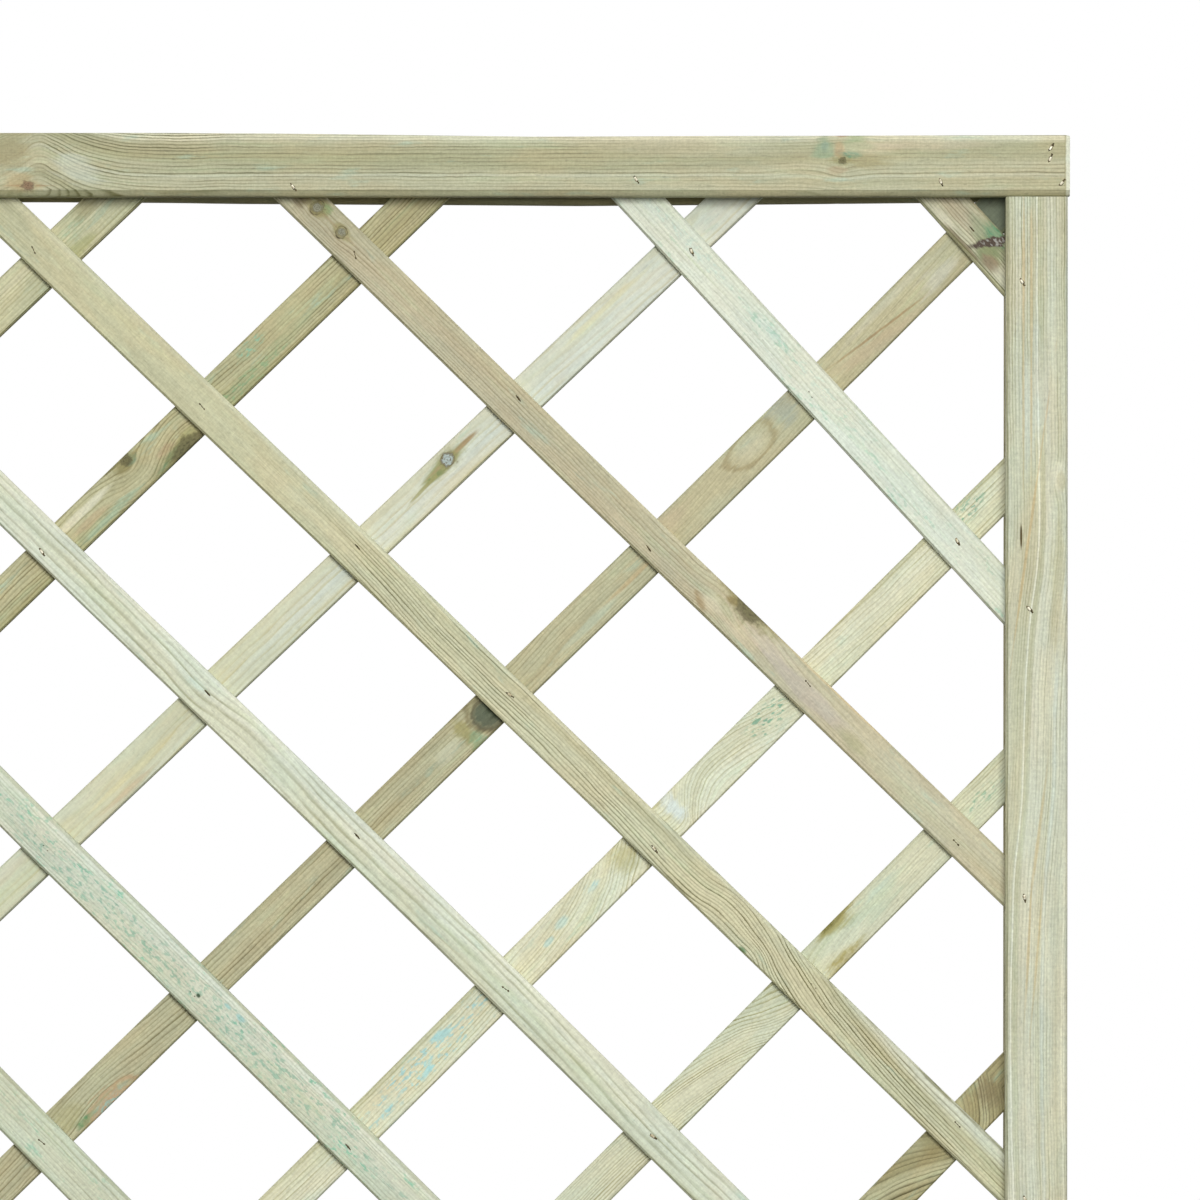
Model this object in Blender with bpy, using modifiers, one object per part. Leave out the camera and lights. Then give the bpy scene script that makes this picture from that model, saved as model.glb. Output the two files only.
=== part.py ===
"""A framed diamond-lattice garden trellis panel, sawn from softwood.

From front to back the panel is a sandwich: a front frame, slats that fall to the right, slats
that rise to the right, and a back frame. X runs to the panel's right, Z runs up and the front
faces -Y. The origin is at the middle of the bottom edge, at mid depth. Lengths are in metres.
"""

from math import atan2, cos, hypot, pi, radians, sin

import bmesh
import bpy
from mathutils import Vector

# The panel's outline
PANEL_WIDTH = 1.830
PANEL_HEIGHT = 1.830

# A frame batten, planed on four sides with eased edges
BATTEN_FACE = 0.045
BATTEN_DEPTH = 0.018
BATTEN_EASE = 0.003
BATTEN_END_EASE_SHARE = 0.4

# A lattice slat, with its ends sawn in line with the frame
SLAT_FACE = 0.028
SLAT_DEPTH = 0.008
SLAT_EASE = 0.0018
SLAT_SETBACK = 0.003

# The air between two pieces that touch, and the share of it under which points count as one
CONTACT_GAP = 0.0003
WELD_SHARE = 0.1

# A narrow wire staple, driven flush with the front frame's face
STAPLE_WIRE = 0.0012
STAPLE_CROWN = 0.006
STAPLE_BEND = 0.0012
STAPLE_BITE = 0.006

# What a cutter or a blank runs past the piece that it trims
OVERRUN = 0.060

# The lattice: slats each way, and how far the last one lies from its corner, in pitches
SLATS_EACH_WAY = 17
CORNER_SHARE = 0.66

# How far each slat's first and last end lies off the even layout, in pitches. A front slat
# starts at its upper end, and they are listed from the top right corner. A back slat starts at
# its lower end, and they are listed from the top left corner.
FRONT_SHIFT_SHARES = (
    (0.053, -0.017), (0.033, -0.102), (-0.120, -0.035), (-0.165, -0.009), (-0.137, -0.005),
    (-0.147, -0.028), (-0.109, -0.111), (-0.080, -0.090), (-0.030, -0.010), (0.020, -0.030),
    (-0.020, 0.030), (0.040, 0.010), (0.000, 0.050), (-0.030, 0.020), (0.050, -0.010),
    (0.020, 0.040), (-0.020, 0.030),
)
BACK_SHIFT_SHARES = (
    (0.020, -0.030), (-0.040, 0.020), (0.030, -0.010), (-0.050, 0.030), (-0.110, 0.020),
    (-0.238, 0.027), (-0.162, 0.049), (-0.272, 0.100), (-0.151, 0.025), (-0.059, -0.039),
    (-0.033, -0.075), (0.090, -0.070), (0.060, -0.050), (0.030, -0.020), (-0.020, 0.030),
    (0.020, 0.000), (-0.030, 0.020),
)
# How wide each slat is sawn, as a share of the slat's face
FRONT_WIDTH_SHARES = (
    1.00, 1.015, 0.96, 1.03, 1.005, 1.09, 1.11, 1.02, 0.97,
    1.03, 0.98, 1.00, 1.04, 0.95, 1.01, 0.98, 1.00,
)
BACK_WIDTH_SHARES = (
    0.98, 1.02, 1.00, 0.96, 1.03, 1.09, 1.04, 0.995, 1.00,
    1.045, 1.01, 1.05, 0.98, 1.01, 0.96, 1.03, 1.00,
)

# Each corner's staples: in from the end and from the outer edge, as shares of the batten's face
CORNER_STAPLE_SHARES = ((0.30, 0.25), (0.31, 0.42), (0.13, 0.80))
CORNER_STAPLE_LEANS = (radians(58), radians(66), radians(50))

# The staples over the ends of the first front slats, on the top rail and on the right stile:
# in from the batten's inner edge, as a share of its face, and across from the slat's centre
# line, as a share of the slat's face
RAIL_STAPLE_SHARES = ((0.23, 0.19), (0.27, 0.25), (0.15, 0.08))
RAIL_STAPLE_LEANS = (radians(65), radians(55), radians(50))
STILE_STAPLE_SHARES = ((0.25, 0.02), (0.37, 0.20), (0.30, 0.09))
STILE_STAPLE_LEANS = (radians(57), radians(48), radians(81))

# Facets of the rounded shapes
BATTEN_EASE_SEGMENTS = 3
SLAT_EASE_SEGMENTS = 2
STAPLE_BEND_STEPS = 3
STAPLE_WIRE_RESOLUTION = 2

# Tones of the treated timber and the wire, as red, green and blue from 0 to 255
FULL_TONE = 255
TONE_GAMMA = 2.2
TIMBER_ROUGHNESS = 0.75
STEEL_ROUGHNESS = 0.3
FRAME_TONES = ((190, 187, 154), (201, 203, 176))
FRONT_TONES = (
    (168, 163, 134), (206, 212, 190), (186, 172, 146), (184, 176, 144),
    (205, 208, 180), (204, 212, 190), (196, 198, 168), (190, 186, 154),
)
BACK_TONES = (
    (190, 184, 150), (176, 170, 138), (206, 206, 178), (178, 168, 132),
    (208, 204, 172), (204, 206, 176), (184, 172, 138), (196, 194, 164),
)
STEEL_TONE = (214, 208, 190)

# Worked out from the sizes above
PANEL_DEPTH = 2 * BATTEN_DEPTH + 2 * SLAT_DEPTH + 3 * CONTACT_GAP
FRONT_FACE_Y = -PANEL_DEPTH / 2
FRONT_FRAME_Y = FRONT_FACE_Y + BATTEN_DEPTH / 2
BACK_FRAME_Y = -FRONT_FRAME_Y
FRONT_SLATS_Y = -(SLAT_DEPTH + CONTACT_GAP) / 2
BACK_SLATS_Y = -FRONT_SLATS_Y
CENTRE = Vector((0, PANEL_HEIGHT / 2))

# The way each layer's slats run, along one of the panel's diagonals, and the way across them
LATTICE_ANGLE = atan2(PANEL_HEIGHT, PANEL_WIDTH)
FRONT_RUN = Vector((cos(LATTICE_ANGLE), -sin(LATTICE_ANGLE)))
FRONT_ACROSS = Vector((sin(LATTICE_ANGLE), cos(LATTICE_ANGLE)))
BACK_RUN = Vector((cos(LATTICE_ANGLE), sin(LATTICE_ANGLE)))
BACK_ACROSS = Vector((sin(LATTICE_ANGLE), -cos(LATTICE_ANGLE)))


def clear_scene():
    for obj in list(bpy.data.objects):
        bpy.data.objects.remove(obj)


def new_collection(name, parent):
    collection = bpy.data.collections.new(name)
    parent.children.link(collection)
    return collection


def linear(tone):
    return [(channel / FULL_TONE) ** TONE_GAMMA for channel in tone]


def finish_of(name, tone, roughness, metallic):
    material = bpy.data.materials.new(name)
    material.use_nodes = True
    shader = material.node_tree.nodes["Principled BSDF"]
    shader.inputs["Base Color"].default_value = (*linear(tone), 1)
    shader.inputs["Roughness"].default_value = roughness
    shader.inputs["Metallic"].default_value = metallic
    material.diffuse_color = (*linear(tone), 1)
    return material


def box_mesh(name, length, depth, face):
    """A box with its length along X, its depth along Y and its face width along Z."""
    mesh = bpy.data.meshes.new(name)
    shape = bmesh.new()
    bmesh.ops.create_cube(shape, size=1)
    bmesh.ops.scale(shape, vec=(length, depth, face), verts=shape.verts)
    shape.to_mesh(mesh)
    shape.free()
    return mesh


def add_piece(name, data, collection, parent, tone, roughness=TIMBER_ROUGHNESS, metallic=0):
    piece = bpy.data.objects.new(name, data)
    collection.objects.link(piece)
    piece.parent = parent
    data.materials.append(finish_of(name, tone, roughness, metallic))
    return piece


def hide_cutter(cutter):
    cutter.hide_render = True
    cutter.display_type = "WIRE"


def place(piece, x, y, z, turn):
    """Puts the piece's middle here, with its length turned down from X about Y."""
    piece.location = (x, y, z)
    piece.rotation_euler = (0, turn, 0)


def ease_edges(board, width, segments, end_share):
    """Rounds the board's long edges, and the edges round its ends by a share of that."""
    vertices = board.data.vertices
    weights = board.data.attributes.new("bevel_weight_edge", "FLOAT", "EDGE")
    for edge, weight in zip(board.data.edges, weights.data):
        start, end = (vertices[index].co for index in edge.vertices)
        runs_along = abs(end.x - start.x) > 0
        weight.value = 1 if runs_along else end_share
    bevel = board.modifiers.new("eased_edges", "BEVEL")
    bevel.limit_method = "WEIGHT"
    bevel.width = width
    bevel.segments = segments


def add_boolean(piece, name, operation, operand):
    boolean = piece.modifiers.new(name, "BOOLEAN")
    boolean.operation = operation
    if isinstance(operand, bpy.types.Collection):
        boolean.operand_type = "COLLECTION"
        boolean.collection = operand
    else:
        boolean.object = operand


def add_batten(name, length, x, y, z, turn, end_share, group, tone):
    mesh = box_mesh(name, length, BATTEN_DEPTH, BATTEN_FACE)
    batten = add_piece(name, mesh, group["parts"], group["panel"], tone)
    ease_edges(batten, BATTEN_EASE, BATTEN_EASE_SEGMENTS, end_share)
    place(batten, x, y, z, turn)
    return batten


def add_frame(layer, y, rails_run_through, group):
    """Two rails and two stiles. One pair runs the panel's full size, the other is butted between."""
    between = 2 * (BATTEN_FACE + CONTACT_GAP)
    rail_length = PANEL_WIDTH - (0 if rails_run_through else between)
    stile_length = PANEL_HEIGHT - (between if rails_run_through else 0)
    rail_end_share = BATTEN_END_EASE_SHARE if rails_run_through else 0
    stile_end_share = 0 if rails_run_through else BATTEN_END_EASE_SHARE
    rail_tone, stile_tone = FRAME_TONES
    half_face = BATTEN_FACE / 2
    stile_x = PANEL_WIDTH / 2 - half_face
    battens = {}
    for name, z in (("top_rail", PANEL_HEIGHT - half_face), ("bottom_rail", half_face)):
        battens[name] = add_batten(
            f"{layer}_{name}", rail_length, 0, y, z, 0, rail_end_share, group, rail_tone
        )
    for name, x in (("left_stile", -stile_x), ("right_stile", stile_x)):
        battens[name] = add_batten(
            f"{layer}_{name}", stile_length, x, y, CENTRE.y, pi / 2, stile_end_share, group, stile_tone
        )
    return battens


def ends_on_outline(point, run):
    """The two points where a line through the panel's plane crosses the panel's outline."""
    low = Vector((-PANEL_WIDTH / 2, 0))
    high = Vector((PANEL_WIDTH / 2, PANEL_HEIGHT))
    crossings = [
        sorted(((low[axis] - point[axis]) / run[axis], (high[axis] - point[axis]) / run[axis]))
        for axis in range(2)
    ]
    enters = max(first for first, _ in crossings)
    leaves = min(last for _, last in crossings)
    return point + enters * run, point + leaves * run


def slat_line(steps, shift_shares, run, across):
    """Both ends of a slat's centre line, this many pitches across from the panel's centre."""
    extent = PANEL_WIDTH * abs(across.x) + PANEL_HEIGHT * abs(across.y)
    pitch = extent / (SLATS_EACH_WAY - 1 + 2 * CORNER_SHARE)
    ends = ends_on_outline(CENTRE + steps * pitch * across, run)
    return [end + share * pitch * across for end, share in zip(ends, shift_shares)]


def add_slats(layer, y, run, across, direction, shift_shares, width_shares, tones, outline, group):
    """One layer of slats, each sawn off in line with the panel's outline."""
    slats = []
    for number in range(SLATS_EACH_WAY):
        steps = direction * (number - (SLATS_EACH_WAY - 1) / 2)
        start, end = slat_line(steps, shift_shares[number % len(shift_shares)], run, across)
        length = (end - start).length + 2 * OVERRUN
        face = SLAT_FACE * width_shares[number % len(width_shares)]
        name = f"{layer}_slat_{number + 1:02}"
        mesh = box_mesh(name, length, SLAT_DEPTH, face)
        slat = add_piece(name, mesh, group["parts"], group["panel"], tones[number % len(tones)])
        ease_edges(slat, SLAT_EASE, SLAT_EASE_SEGMENTS, 0)
        middle = (start + end) / 2
        place(slat, middle.x, y, middle.y, atan2(start.y - end.y, end.x - start.x))
        add_boolean(slat, "sawn_ends", "INTERSECT", outline)
        slats.append({"object": slat, "start": start, "end": end, "face": face})
    return slats


def staple_curve(name, radius, leg_end):
    """A staple's wire: the crown along X just under the surface, and two legs along +Y."""
    half_span = (STAPLE_CROWN - STAPLE_WIRE) / 2
    crown_y = STAPLE_WIRE / 2
    side = [(half_span, leg_end)]
    for step in range(STAPLE_BEND_STEPS + 1):
        turned = pi / 2 * step / STAPLE_BEND_STEPS
        x = half_span - STAPLE_BEND * (1 - cos(turned))
        side.append((x, crown_y + STAPLE_BEND * (1 - sin(turned))))
    points = side + [(-x, y) for x, y in reversed(side)]
    curve = bpy.data.curves.new(name, "CURVE")
    curve.dimensions = "3D"
    curve.bevel_depth = radius
    curve.bevel_resolution = STAPLE_WIRE_RESOLUTION
    curve.use_fill_caps = True
    spline = curve.splines.new("POLY")
    spline.points.add(len(points) - 1)
    for point, (x, y) in zip(spline.points, points):
        point.co = (x, y, 0, 1)
    return curve


def mesh_from_curve(name, curve, collection):
    """A closed mesh of the curve's tube, which a Boolean can use."""
    tube = bpy.data.objects.new(name, curve)
    collection.objects.link(tube)
    graph = bpy.context.evaluated_depsgraph_get()
    mesh = bpy.data.meshes.new_from_object(tube.evaluated_get(graph))
    bpy.data.objects.remove(tube)
    shape = bmesh.new()
    shape.from_mesh(mesh)
    bmesh.ops.remove_doubles(shape, verts=shape.verts, dist=CONTACT_GAP * WELD_SHARE)
    bmesh.ops.recalc_face_normals(shape, faces=shape.faces)
    bmesh.ops.triangulate(shape, faces=shape.faces)
    shape.to_mesh(mesh)
    shape.free()
    return mesh


def distance_to_line(point, start, end):
    run = (end - start).normalized()
    return abs(run.x * (point.y - start.y) - run.y * (point.x - start.x))


def add_staple(name, place_in_panel, turn, slots, slot_mesh, group):
    """One staple driven into the front, and the slot that its wire takes up."""
    leg_end = PANEL_DEPTH - BATTEN_DEPTH + STAPLE_BITE
    wire = staple_curve(name, STAPLE_WIRE / 2, leg_end)
    staple = add_piece(name, wire, group["parts"], group["panel"], STEEL_TONE, STEEL_ROUGHNESS, 1)
    slot = bpy.data.objects.new(f"{name}_slot", slot_mesh)
    slots.objects.link(slot)
    hide_cutter(slot)
    for piece in (staple, slot):
        place(piece, place_in_panel.x, FRONT_FACE_Y, place_in_panel.y, turn)


def add_slot_mesh(group):
    """A staple's wire with clearance all round, which cuts its slot."""
    leg_end = PANEL_DEPTH - BATTEN_DEPTH + STAPLE_BITE + CONTACT_GAP
    curve = staple_curve("staple_slot", STAPLE_WIRE / 2 + CONTACT_GAP, leg_end)
    return mesh_from_curve("staple_slot", curve, group["cutters"])


def cut_slots(slots, battens, slats, middle, reach):
    """Cuts these slots from the battens, and from each slat that comes within reach of the middle."""
    pierced = list(battens)
    for slat in slats:
        if distance_to_line(middle, slat["start"], slat["end"]) < reach + slat["face"] / 2:
            pierced.append(slat["object"])
    for piece in pierced:
        add_boolean(piece, slots.name, "DIFFERENCE", slots)


def add_corner_staples(front, back, slats, slot_mesh, group):
    """Staples at each front corner, through the rail and any slat there, into the back stile."""
    for side_z, rail in ((1, "top"), (-1, "bottom")):
        for side_x, stile in ((-1, "left"), (1, "right")):
            corner = Vector((side_x * PANEL_WIDTH / 2, CENTRE.y + side_z * PANEL_HEIGHT / 2))
            slots = new_collection(f"{rail}_{stile}_slots", group["cutters"])
            for number, shares in enumerate(CORNER_STAPLE_SHARES):
                inwards = Vector((-side_x * shares[0], -side_z * shares[1])) * BATTEN_FACE
                turn = -side_x * side_z * CORNER_STAPLE_LEANS[number]
                name = f"staple_{rail}_{stile}_{number + 1}"
                add_staple(name, corner + inwards, turn, slots, slot_mesh, group)
            battens = (front[f"{rail}_rail"], back[f"{stile}_stile"])
            cut_slots(slots, battens, slats, corner, hypot(BATTEN_FACE, BATTEN_FACE))


def add_end_staples(front, back, slats, slot_mesh, group):
    """Staples through the top rail and the right stile, over the ends of the first front slats."""
    rail_line = PANEL_HEIGHT - BATTEN_FACE
    stile_line = PANEL_WIDTH / 2 - BATTEN_FACE
    for batten, axis, line, all_shares, leans in (
        ("top_rail", 1, rail_line, RAIL_STAPLE_SHARES, RAIL_STAPLE_LEANS),
        ("right_stile", 0, stile_line, STILE_STAPLE_SHARES, STILE_STAPLE_LEANS),
    ):
        for number, (in_share, across_share) in enumerate(all_shares):
            slat = slats[number]
            run = (slat["end"] - slat["start"]).normalized()
            across = Vector((-run.y, run.x))
            offset = across * across_share * slat["face"]
            start = slat["start"] + offset
            steps = (line + in_share * BATTEN_FACE - start[axis]) / run[axis]
            point = start + steps * run
            name = f"staple_{batten}_{number + 1}"
            slots = new_collection(f"{name}_slots", group["cutters"])
            add_staple(name, point, leans[number], slots, slot_mesh, group)
            cut_slots(slots, (front[batten], back[batten]), slats, point, STAPLE_CROWN)


def add_outline_cutter(group):
    width = PANEL_WIDTH - 2 * SLAT_SETBACK
    height = PANEL_HEIGHT - 2 * SLAT_SETBACK
    outline = bpy.data.objects.new("slat_outline", box_mesh("slat_outline", width, OVERRUN, height))
    group["cutters"].objects.link(outline)
    place(outline, 0, 0, CENTRE.y, 0)
    hide_cutter(outline)
    return outline


def build():
    clear_scene()
    root = bpy.context.scene.collection
    parts = new_collection("wooden_trellis", root)
    panel = bpy.data.objects.new("trellis_panel", None)
    parts.objects.link(panel)
    group = {"parts": parts, "cutters": new_collection("cutters", root), "panel": panel}
    outline = add_outline_cutter(group)
    front = add_frame("front", FRONT_FRAME_Y, True, group)
    back = add_frame("back", BACK_FRAME_Y, False, group)
    slats = add_slats(
        "front", FRONT_SLATS_Y, FRONT_RUN, FRONT_ACROSS, -1,
        FRONT_SHIFT_SHARES, FRONT_WIDTH_SHARES, FRONT_TONES, outline, group,
    )
    slats += add_slats(
        "back", BACK_SLATS_Y, BACK_RUN, BACK_ACROSS, 1,
        BACK_SHIFT_SHARES, BACK_WIDTH_SHARES, BACK_TONES, outline, group,
    )
    slot_mesh = add_slot_mesh(group)
    add_corner_staples(front, back, slats, slot_mesh, group)
    add_end_staples(front, back, slats, slot_mesh, group)


build()
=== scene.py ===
"""The looks of a framed diamond-lattice garden trellis panel of pressure-treated softwood.

Every board of the frame is replaced by a finer one in the same place, with unevenly eased edges
and small chips. Each has its own growth rings, knots and stains, and those that show in the
photograph carry what it shows. Wire staples hold the boards. Lengths are in metres, in the
frame's axes: X to the panel's right, Z up, and the front faces -Y.
"""

import random
from dataclasses import dataclass, field, replace
from math import atan2, ceil, cos, degrees, pi, radians, sin

import bmesh
import bpy
import numpy as np
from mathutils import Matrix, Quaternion, Vector, noise


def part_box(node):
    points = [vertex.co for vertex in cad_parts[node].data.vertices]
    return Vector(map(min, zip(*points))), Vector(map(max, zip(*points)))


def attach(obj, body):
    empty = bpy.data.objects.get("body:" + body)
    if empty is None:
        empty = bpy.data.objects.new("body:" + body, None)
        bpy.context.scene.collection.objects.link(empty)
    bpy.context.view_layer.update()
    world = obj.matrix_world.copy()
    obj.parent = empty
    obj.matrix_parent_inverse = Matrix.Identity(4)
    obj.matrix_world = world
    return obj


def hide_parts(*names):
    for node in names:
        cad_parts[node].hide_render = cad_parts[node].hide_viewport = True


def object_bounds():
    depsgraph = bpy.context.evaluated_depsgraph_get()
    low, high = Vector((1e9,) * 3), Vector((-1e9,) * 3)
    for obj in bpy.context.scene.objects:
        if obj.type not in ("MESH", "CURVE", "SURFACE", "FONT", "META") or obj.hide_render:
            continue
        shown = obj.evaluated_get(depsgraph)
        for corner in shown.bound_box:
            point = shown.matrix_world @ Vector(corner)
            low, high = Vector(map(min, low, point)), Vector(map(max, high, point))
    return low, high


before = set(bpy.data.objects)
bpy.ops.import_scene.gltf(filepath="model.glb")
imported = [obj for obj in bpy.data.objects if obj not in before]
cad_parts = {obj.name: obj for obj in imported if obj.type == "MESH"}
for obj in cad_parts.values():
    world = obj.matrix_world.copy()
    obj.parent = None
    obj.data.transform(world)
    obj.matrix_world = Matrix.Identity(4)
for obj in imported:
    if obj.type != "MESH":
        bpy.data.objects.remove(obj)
CAD_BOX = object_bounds()

MM = 0.001

# The panel, read from the frame: its pieces, its middle, and the opening between the front battens
FRONT_BATTENS, BACK_BATTENS = (
    [f"{layer}_{batten}" for batten in ("top_rail", "bottom_rail", "left_stile", "right_stile")]
    for layer in ("front", "back")
)
FRONT_SLATS, BACK_SLATS, STAPLES = (
    sorted(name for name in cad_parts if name.startswith(start))
    for start in ("front_slat", "back_slat", "staple")
)
PANEL_LOW, PANEL_HIGH = CAD_BOX
CENTRE = PANEL_LOW.lerp(PANEL_HIGH, 0.5)
FRAME_FACE = Vector((1, 0, 1)) * (PANEL_HIGH.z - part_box("front_top_rail")[0].z)
OPENING = (PANEL_LOW + FRAME_FACE, PANEL_HIGH - FRAME_FACE)

# A board's mesh: the spacing of its sections and the least between two, the steps on each eased
# corner, the flat kept beside it, how far a slat runs on to be sawn off, and how nearly a face
# looks along the board if it is one of its ends
SECTION_STEP = 20 * MM
LEAST_STEP = 0.2 * MM
CORNER_STEPS = 3
SUPPORT = 0.4 * MM
BLANK_OVERRUN = 6 * MM
SIDE_LIMIT = 0.5

# How the saw and the planer left a board: how far its faces lie in, how its edges are eased, and
# how near to a flat chamfer that is
FACE_INSET = 0.2 * MM
WANDER = 0.3 * MM
WANDER_LENGTH = 0.35
INNER_EASE = {"rail": 3.9 * MM, "stile": 1.7 * MM}
OUTER_EASE = 2.0 * MM
SLAT_EASE = {"front": 1.4 * MM, "back": 0.9 * MM}
FLATNESS = 0.85
EASE_SPREAD_SHARE = 0.3
EASE_LENGTH = 0.09

# How far a batten's ends are eased, in how many steps, how deep at most, and how much of that
# the sides show
END_EASE = {"rail": 2.6 * MM, "stile": 0.9 * MM}
END_STEPS = 3
END_DROP_SHARE = 0.8
END_SIDE_SHARE = 0.25

# Chips out of the corners, the last of which is the upper front one
CHIP_LENGTH = 3.5 * MM
CHIP_DEPTH = 0.9 * MM
CHIPS_PER_METRE = 3.0
CORNERS = (0, 1, 2, 3)

# The square map through which a board's look is baked: the air between its strips, and the most
# rows that a board is cut into
MAP_GAP = 1.6 * MM
MAP_OVERLAP = 2 * SECTION_STEP
MOST_ROWS = 11

# The photograph: its size in pixels, its scale on the front slats, the pixel of the panel's corner,
# the pixel that the camera stands straight in front of, and how far it is turned to its left
PHOTO_SIDE = 1200
PHOTO_SCALE = 0.703125 * MM
CORNER_PIXEL = (1068.0, 133.5)
FOOT_PIXEL = (815.0, 800.0)
CAMERA_DISTANCE = 4.6
CAMERA_ROLL = radians(0.16)
SENSOR = 36.0

# How far in from straight the edges of some boards lie, or out where it is negative: photo pixels
# along, and millimetres
SHORT_EDGES = {
    "front_slat_01": ("lower", ((760, 0), (940, 0), (985, -0.9), (1004, -1.7), (1040, -1.7))),
    "back_slat_09": ("lower", ((160, 0), (945, 0), (985, -1.4), (1010, -1.6), (1050, 0))),
    "front_top_rail": ("upper", ((150, 0), (280, 0.5), (410, 1.6), (540, 2.8), (670, 2.5), (1060, 1.8))),
    "front_right_stile": ("lower", ((230, 1.4), (1200, 1.4))),
}
RAIL_NICKS = (88, 161, 211, 233, 239)

# How far some boards were bowed or set off their lines, upwards or to their left: photo pixels
# along, and millimetres
BOWS = {
    "front_slat_01": ((760, 0), (930, 0), (985, 0.8), (1004, 1.3), (1040, 1.3)),
    "front_slat_04": ((-90, 0), (155, 0), (387, 0.8), (625, 0.6), (850, 0.2), (1004, 0)),
    "front_slat_05": ((-310, 0), (0, -2.0), (101, -1.7), (281, 0.5), (455, 1.3), (629, 0.8), (900, 0)),
    "front_slat_06": ((-310, 0), (65, -1.2), (158, -0.3), (400, 0)),
    "front_slat_03": ((280, 0.4), (419, 0.2), (573, -0.2), (734, 0.4), (894, 0.9), (1004, 1.1)),
    "back_slat_09": (
        (160, 0.3), (393, -0.2), (632, -0.9), (857, -0.1), (945, 1.4), (990, 2.1), (1010, 2.1),
        (1050, 0),
    ),
    "back_slat_10": ((100, 0), (384, -0.5), (556, -0.2), (732, 0.6), (905, 0.5), (1060, 0.4)),
    "back_slat_11": ((500, 0), (640, -0.3), (739, 0.1), (849, 0.4), (1060, 0.6)),
    "back_top_rail": (
        (-900, 0), (60, 0), (180, -0.5), (240, -1.3), (450, -2.1), (580, -2.8), (800, -1.6), (890, -0.9),
        (1000, -0.3),
    ),
}

# Where the random numbers of the boards and of the staples start
FIRST_SEED = 100
SEED_STEP = 31
STAPLE_SEED = 7
WOBBLE_SHIFT = (7.31, 1.77)

# A staple: its crown's length, its flat wire, how far that stands proud, and its legs' bend and
# the length of them that is made
CROWN = 5.6 * MM
WIRE_WIDTH = 1.8 * MM
WIRE_THICKNESS = 0.6 * MM
WIRE_SIDES = 8
WIRE_PROUD = 0.25 * MM
LEG_BEND = 0.9 * MM
LEG_SHOWN = 3.0 * MM

# Tones are red, green and blue from 0 to 255
FULL_TONE = 255
TONE_GAMMA = 2.2


def linear(tone):
    return (*((channel / FULL_TONE) ** TONE_GAMMA for channel in tone), 1)


# What a board can have beside its plain grain. A place is how far along the board, and how many
# millimetres across from its middle. On a board that the photograph shows, the first is a pixel
# of it, counted along X, or down the stile. On any other it is in metres. Lengths and widths are
# in millimetres, and turns in degrees.
@dataclass
class Knot:
    """Its swirl is how far off it still parts the grain. A knot with no kind only does that."""

    place: tuple
    radius: float
    kind: str = "none"
    swirl: float = 8
    stretch: float = 1.3


@dataclass
class Rise:
    """Rings that close round a place, where the saw met a hump in the grain."""

    place: tuple
    length: float
    width: float
    height: float


@dataclass
class Mark:
    """A soft-edged patch, its length along the board, in flecks or hollow by as much as it says."""

    place: tuple
    length: float
    width: float
    tone: tuple
    strength: float
    ragged: float = 0.5
    turn: float = 0
    fleck: float = 0
    hollow: float = 0


@dataclass
class Band:
    """A streak that follows the grain, in the wood's own tone or, along a lit edge, as painted
    highlight. Its place across is counted before the grain is lifted.
    """

    across: float
    width: float
    tone: tuple
    strength: float


@dataclass
class Timber:
    """A board's wood: the tones of its early and late wood and of its drifting patches, its rings'
    pitch and heart in millimetres, how strong its rings' lines and its finest marks are, how far
    and over what length its grain waves, its stains and specks, and how dark its lower and upper
    edges are, partly soil and partly painted shade.

    Its lifts say, at places along it, how far the grain has wandered across, and its clear places
    what share of its lines' strength they keep.
    """

    pale: tuple
    dark: tuple
    drift: tuple
    pitch: float
    heart: tuple = (40, 30)
    line: float = 0.6
    fine: float = 0.5
    wave: float = 1.5
    reach: float = 300
    stain: float = 0.25
    specks: float = 0.0
    edges: tuple = (0.5, 0.15)
    lifts: tuple = ()
    clear: tuple = ()
    features: list = field(default_factory=list)

    def having(self, kind):
        return [feature for feature in self.features if isinstance(feature, kind)]


# The core, the rim, the halo and the tips of each kind of knot
KNOT_TONES = {
    "grey": ((142, 144, 128), (88, 84, 66), (156, 150, 104), (150, 130, 96)),
    "dark": ((102, 98, 66), (66, 60, 38), (146, 140, 90), (140, 128, 88)),
    "brown": ((134, 108, 84), (84, 62, 50), (172, 156, 116), (160, 128, 92)),
    "eye": ((172, 188, 188), (90, 72, 56), (146, 146, 96), (170, 144, 110)),
    "resin": ((150, 176, 160), (190, 146, 106), (178, 164, 120), (176, 150, 108)),
}

LEAF = (158, 176, 140)
TURQUOISE = (150, 200, 186)
SKY = (160, 208, 208)
RUST = (164, 130, 90)
MOSS = (140, 136, 82)
SPECK = (128, 184, 154)
# The olive of eased edges, partly soil and partly painted shade, and the painted shade along their
# creases
EDGE_SOIL_AND_SHADE = (156, 152, 104)
CREASE_SHADE = (92, 92, 54)

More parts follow.
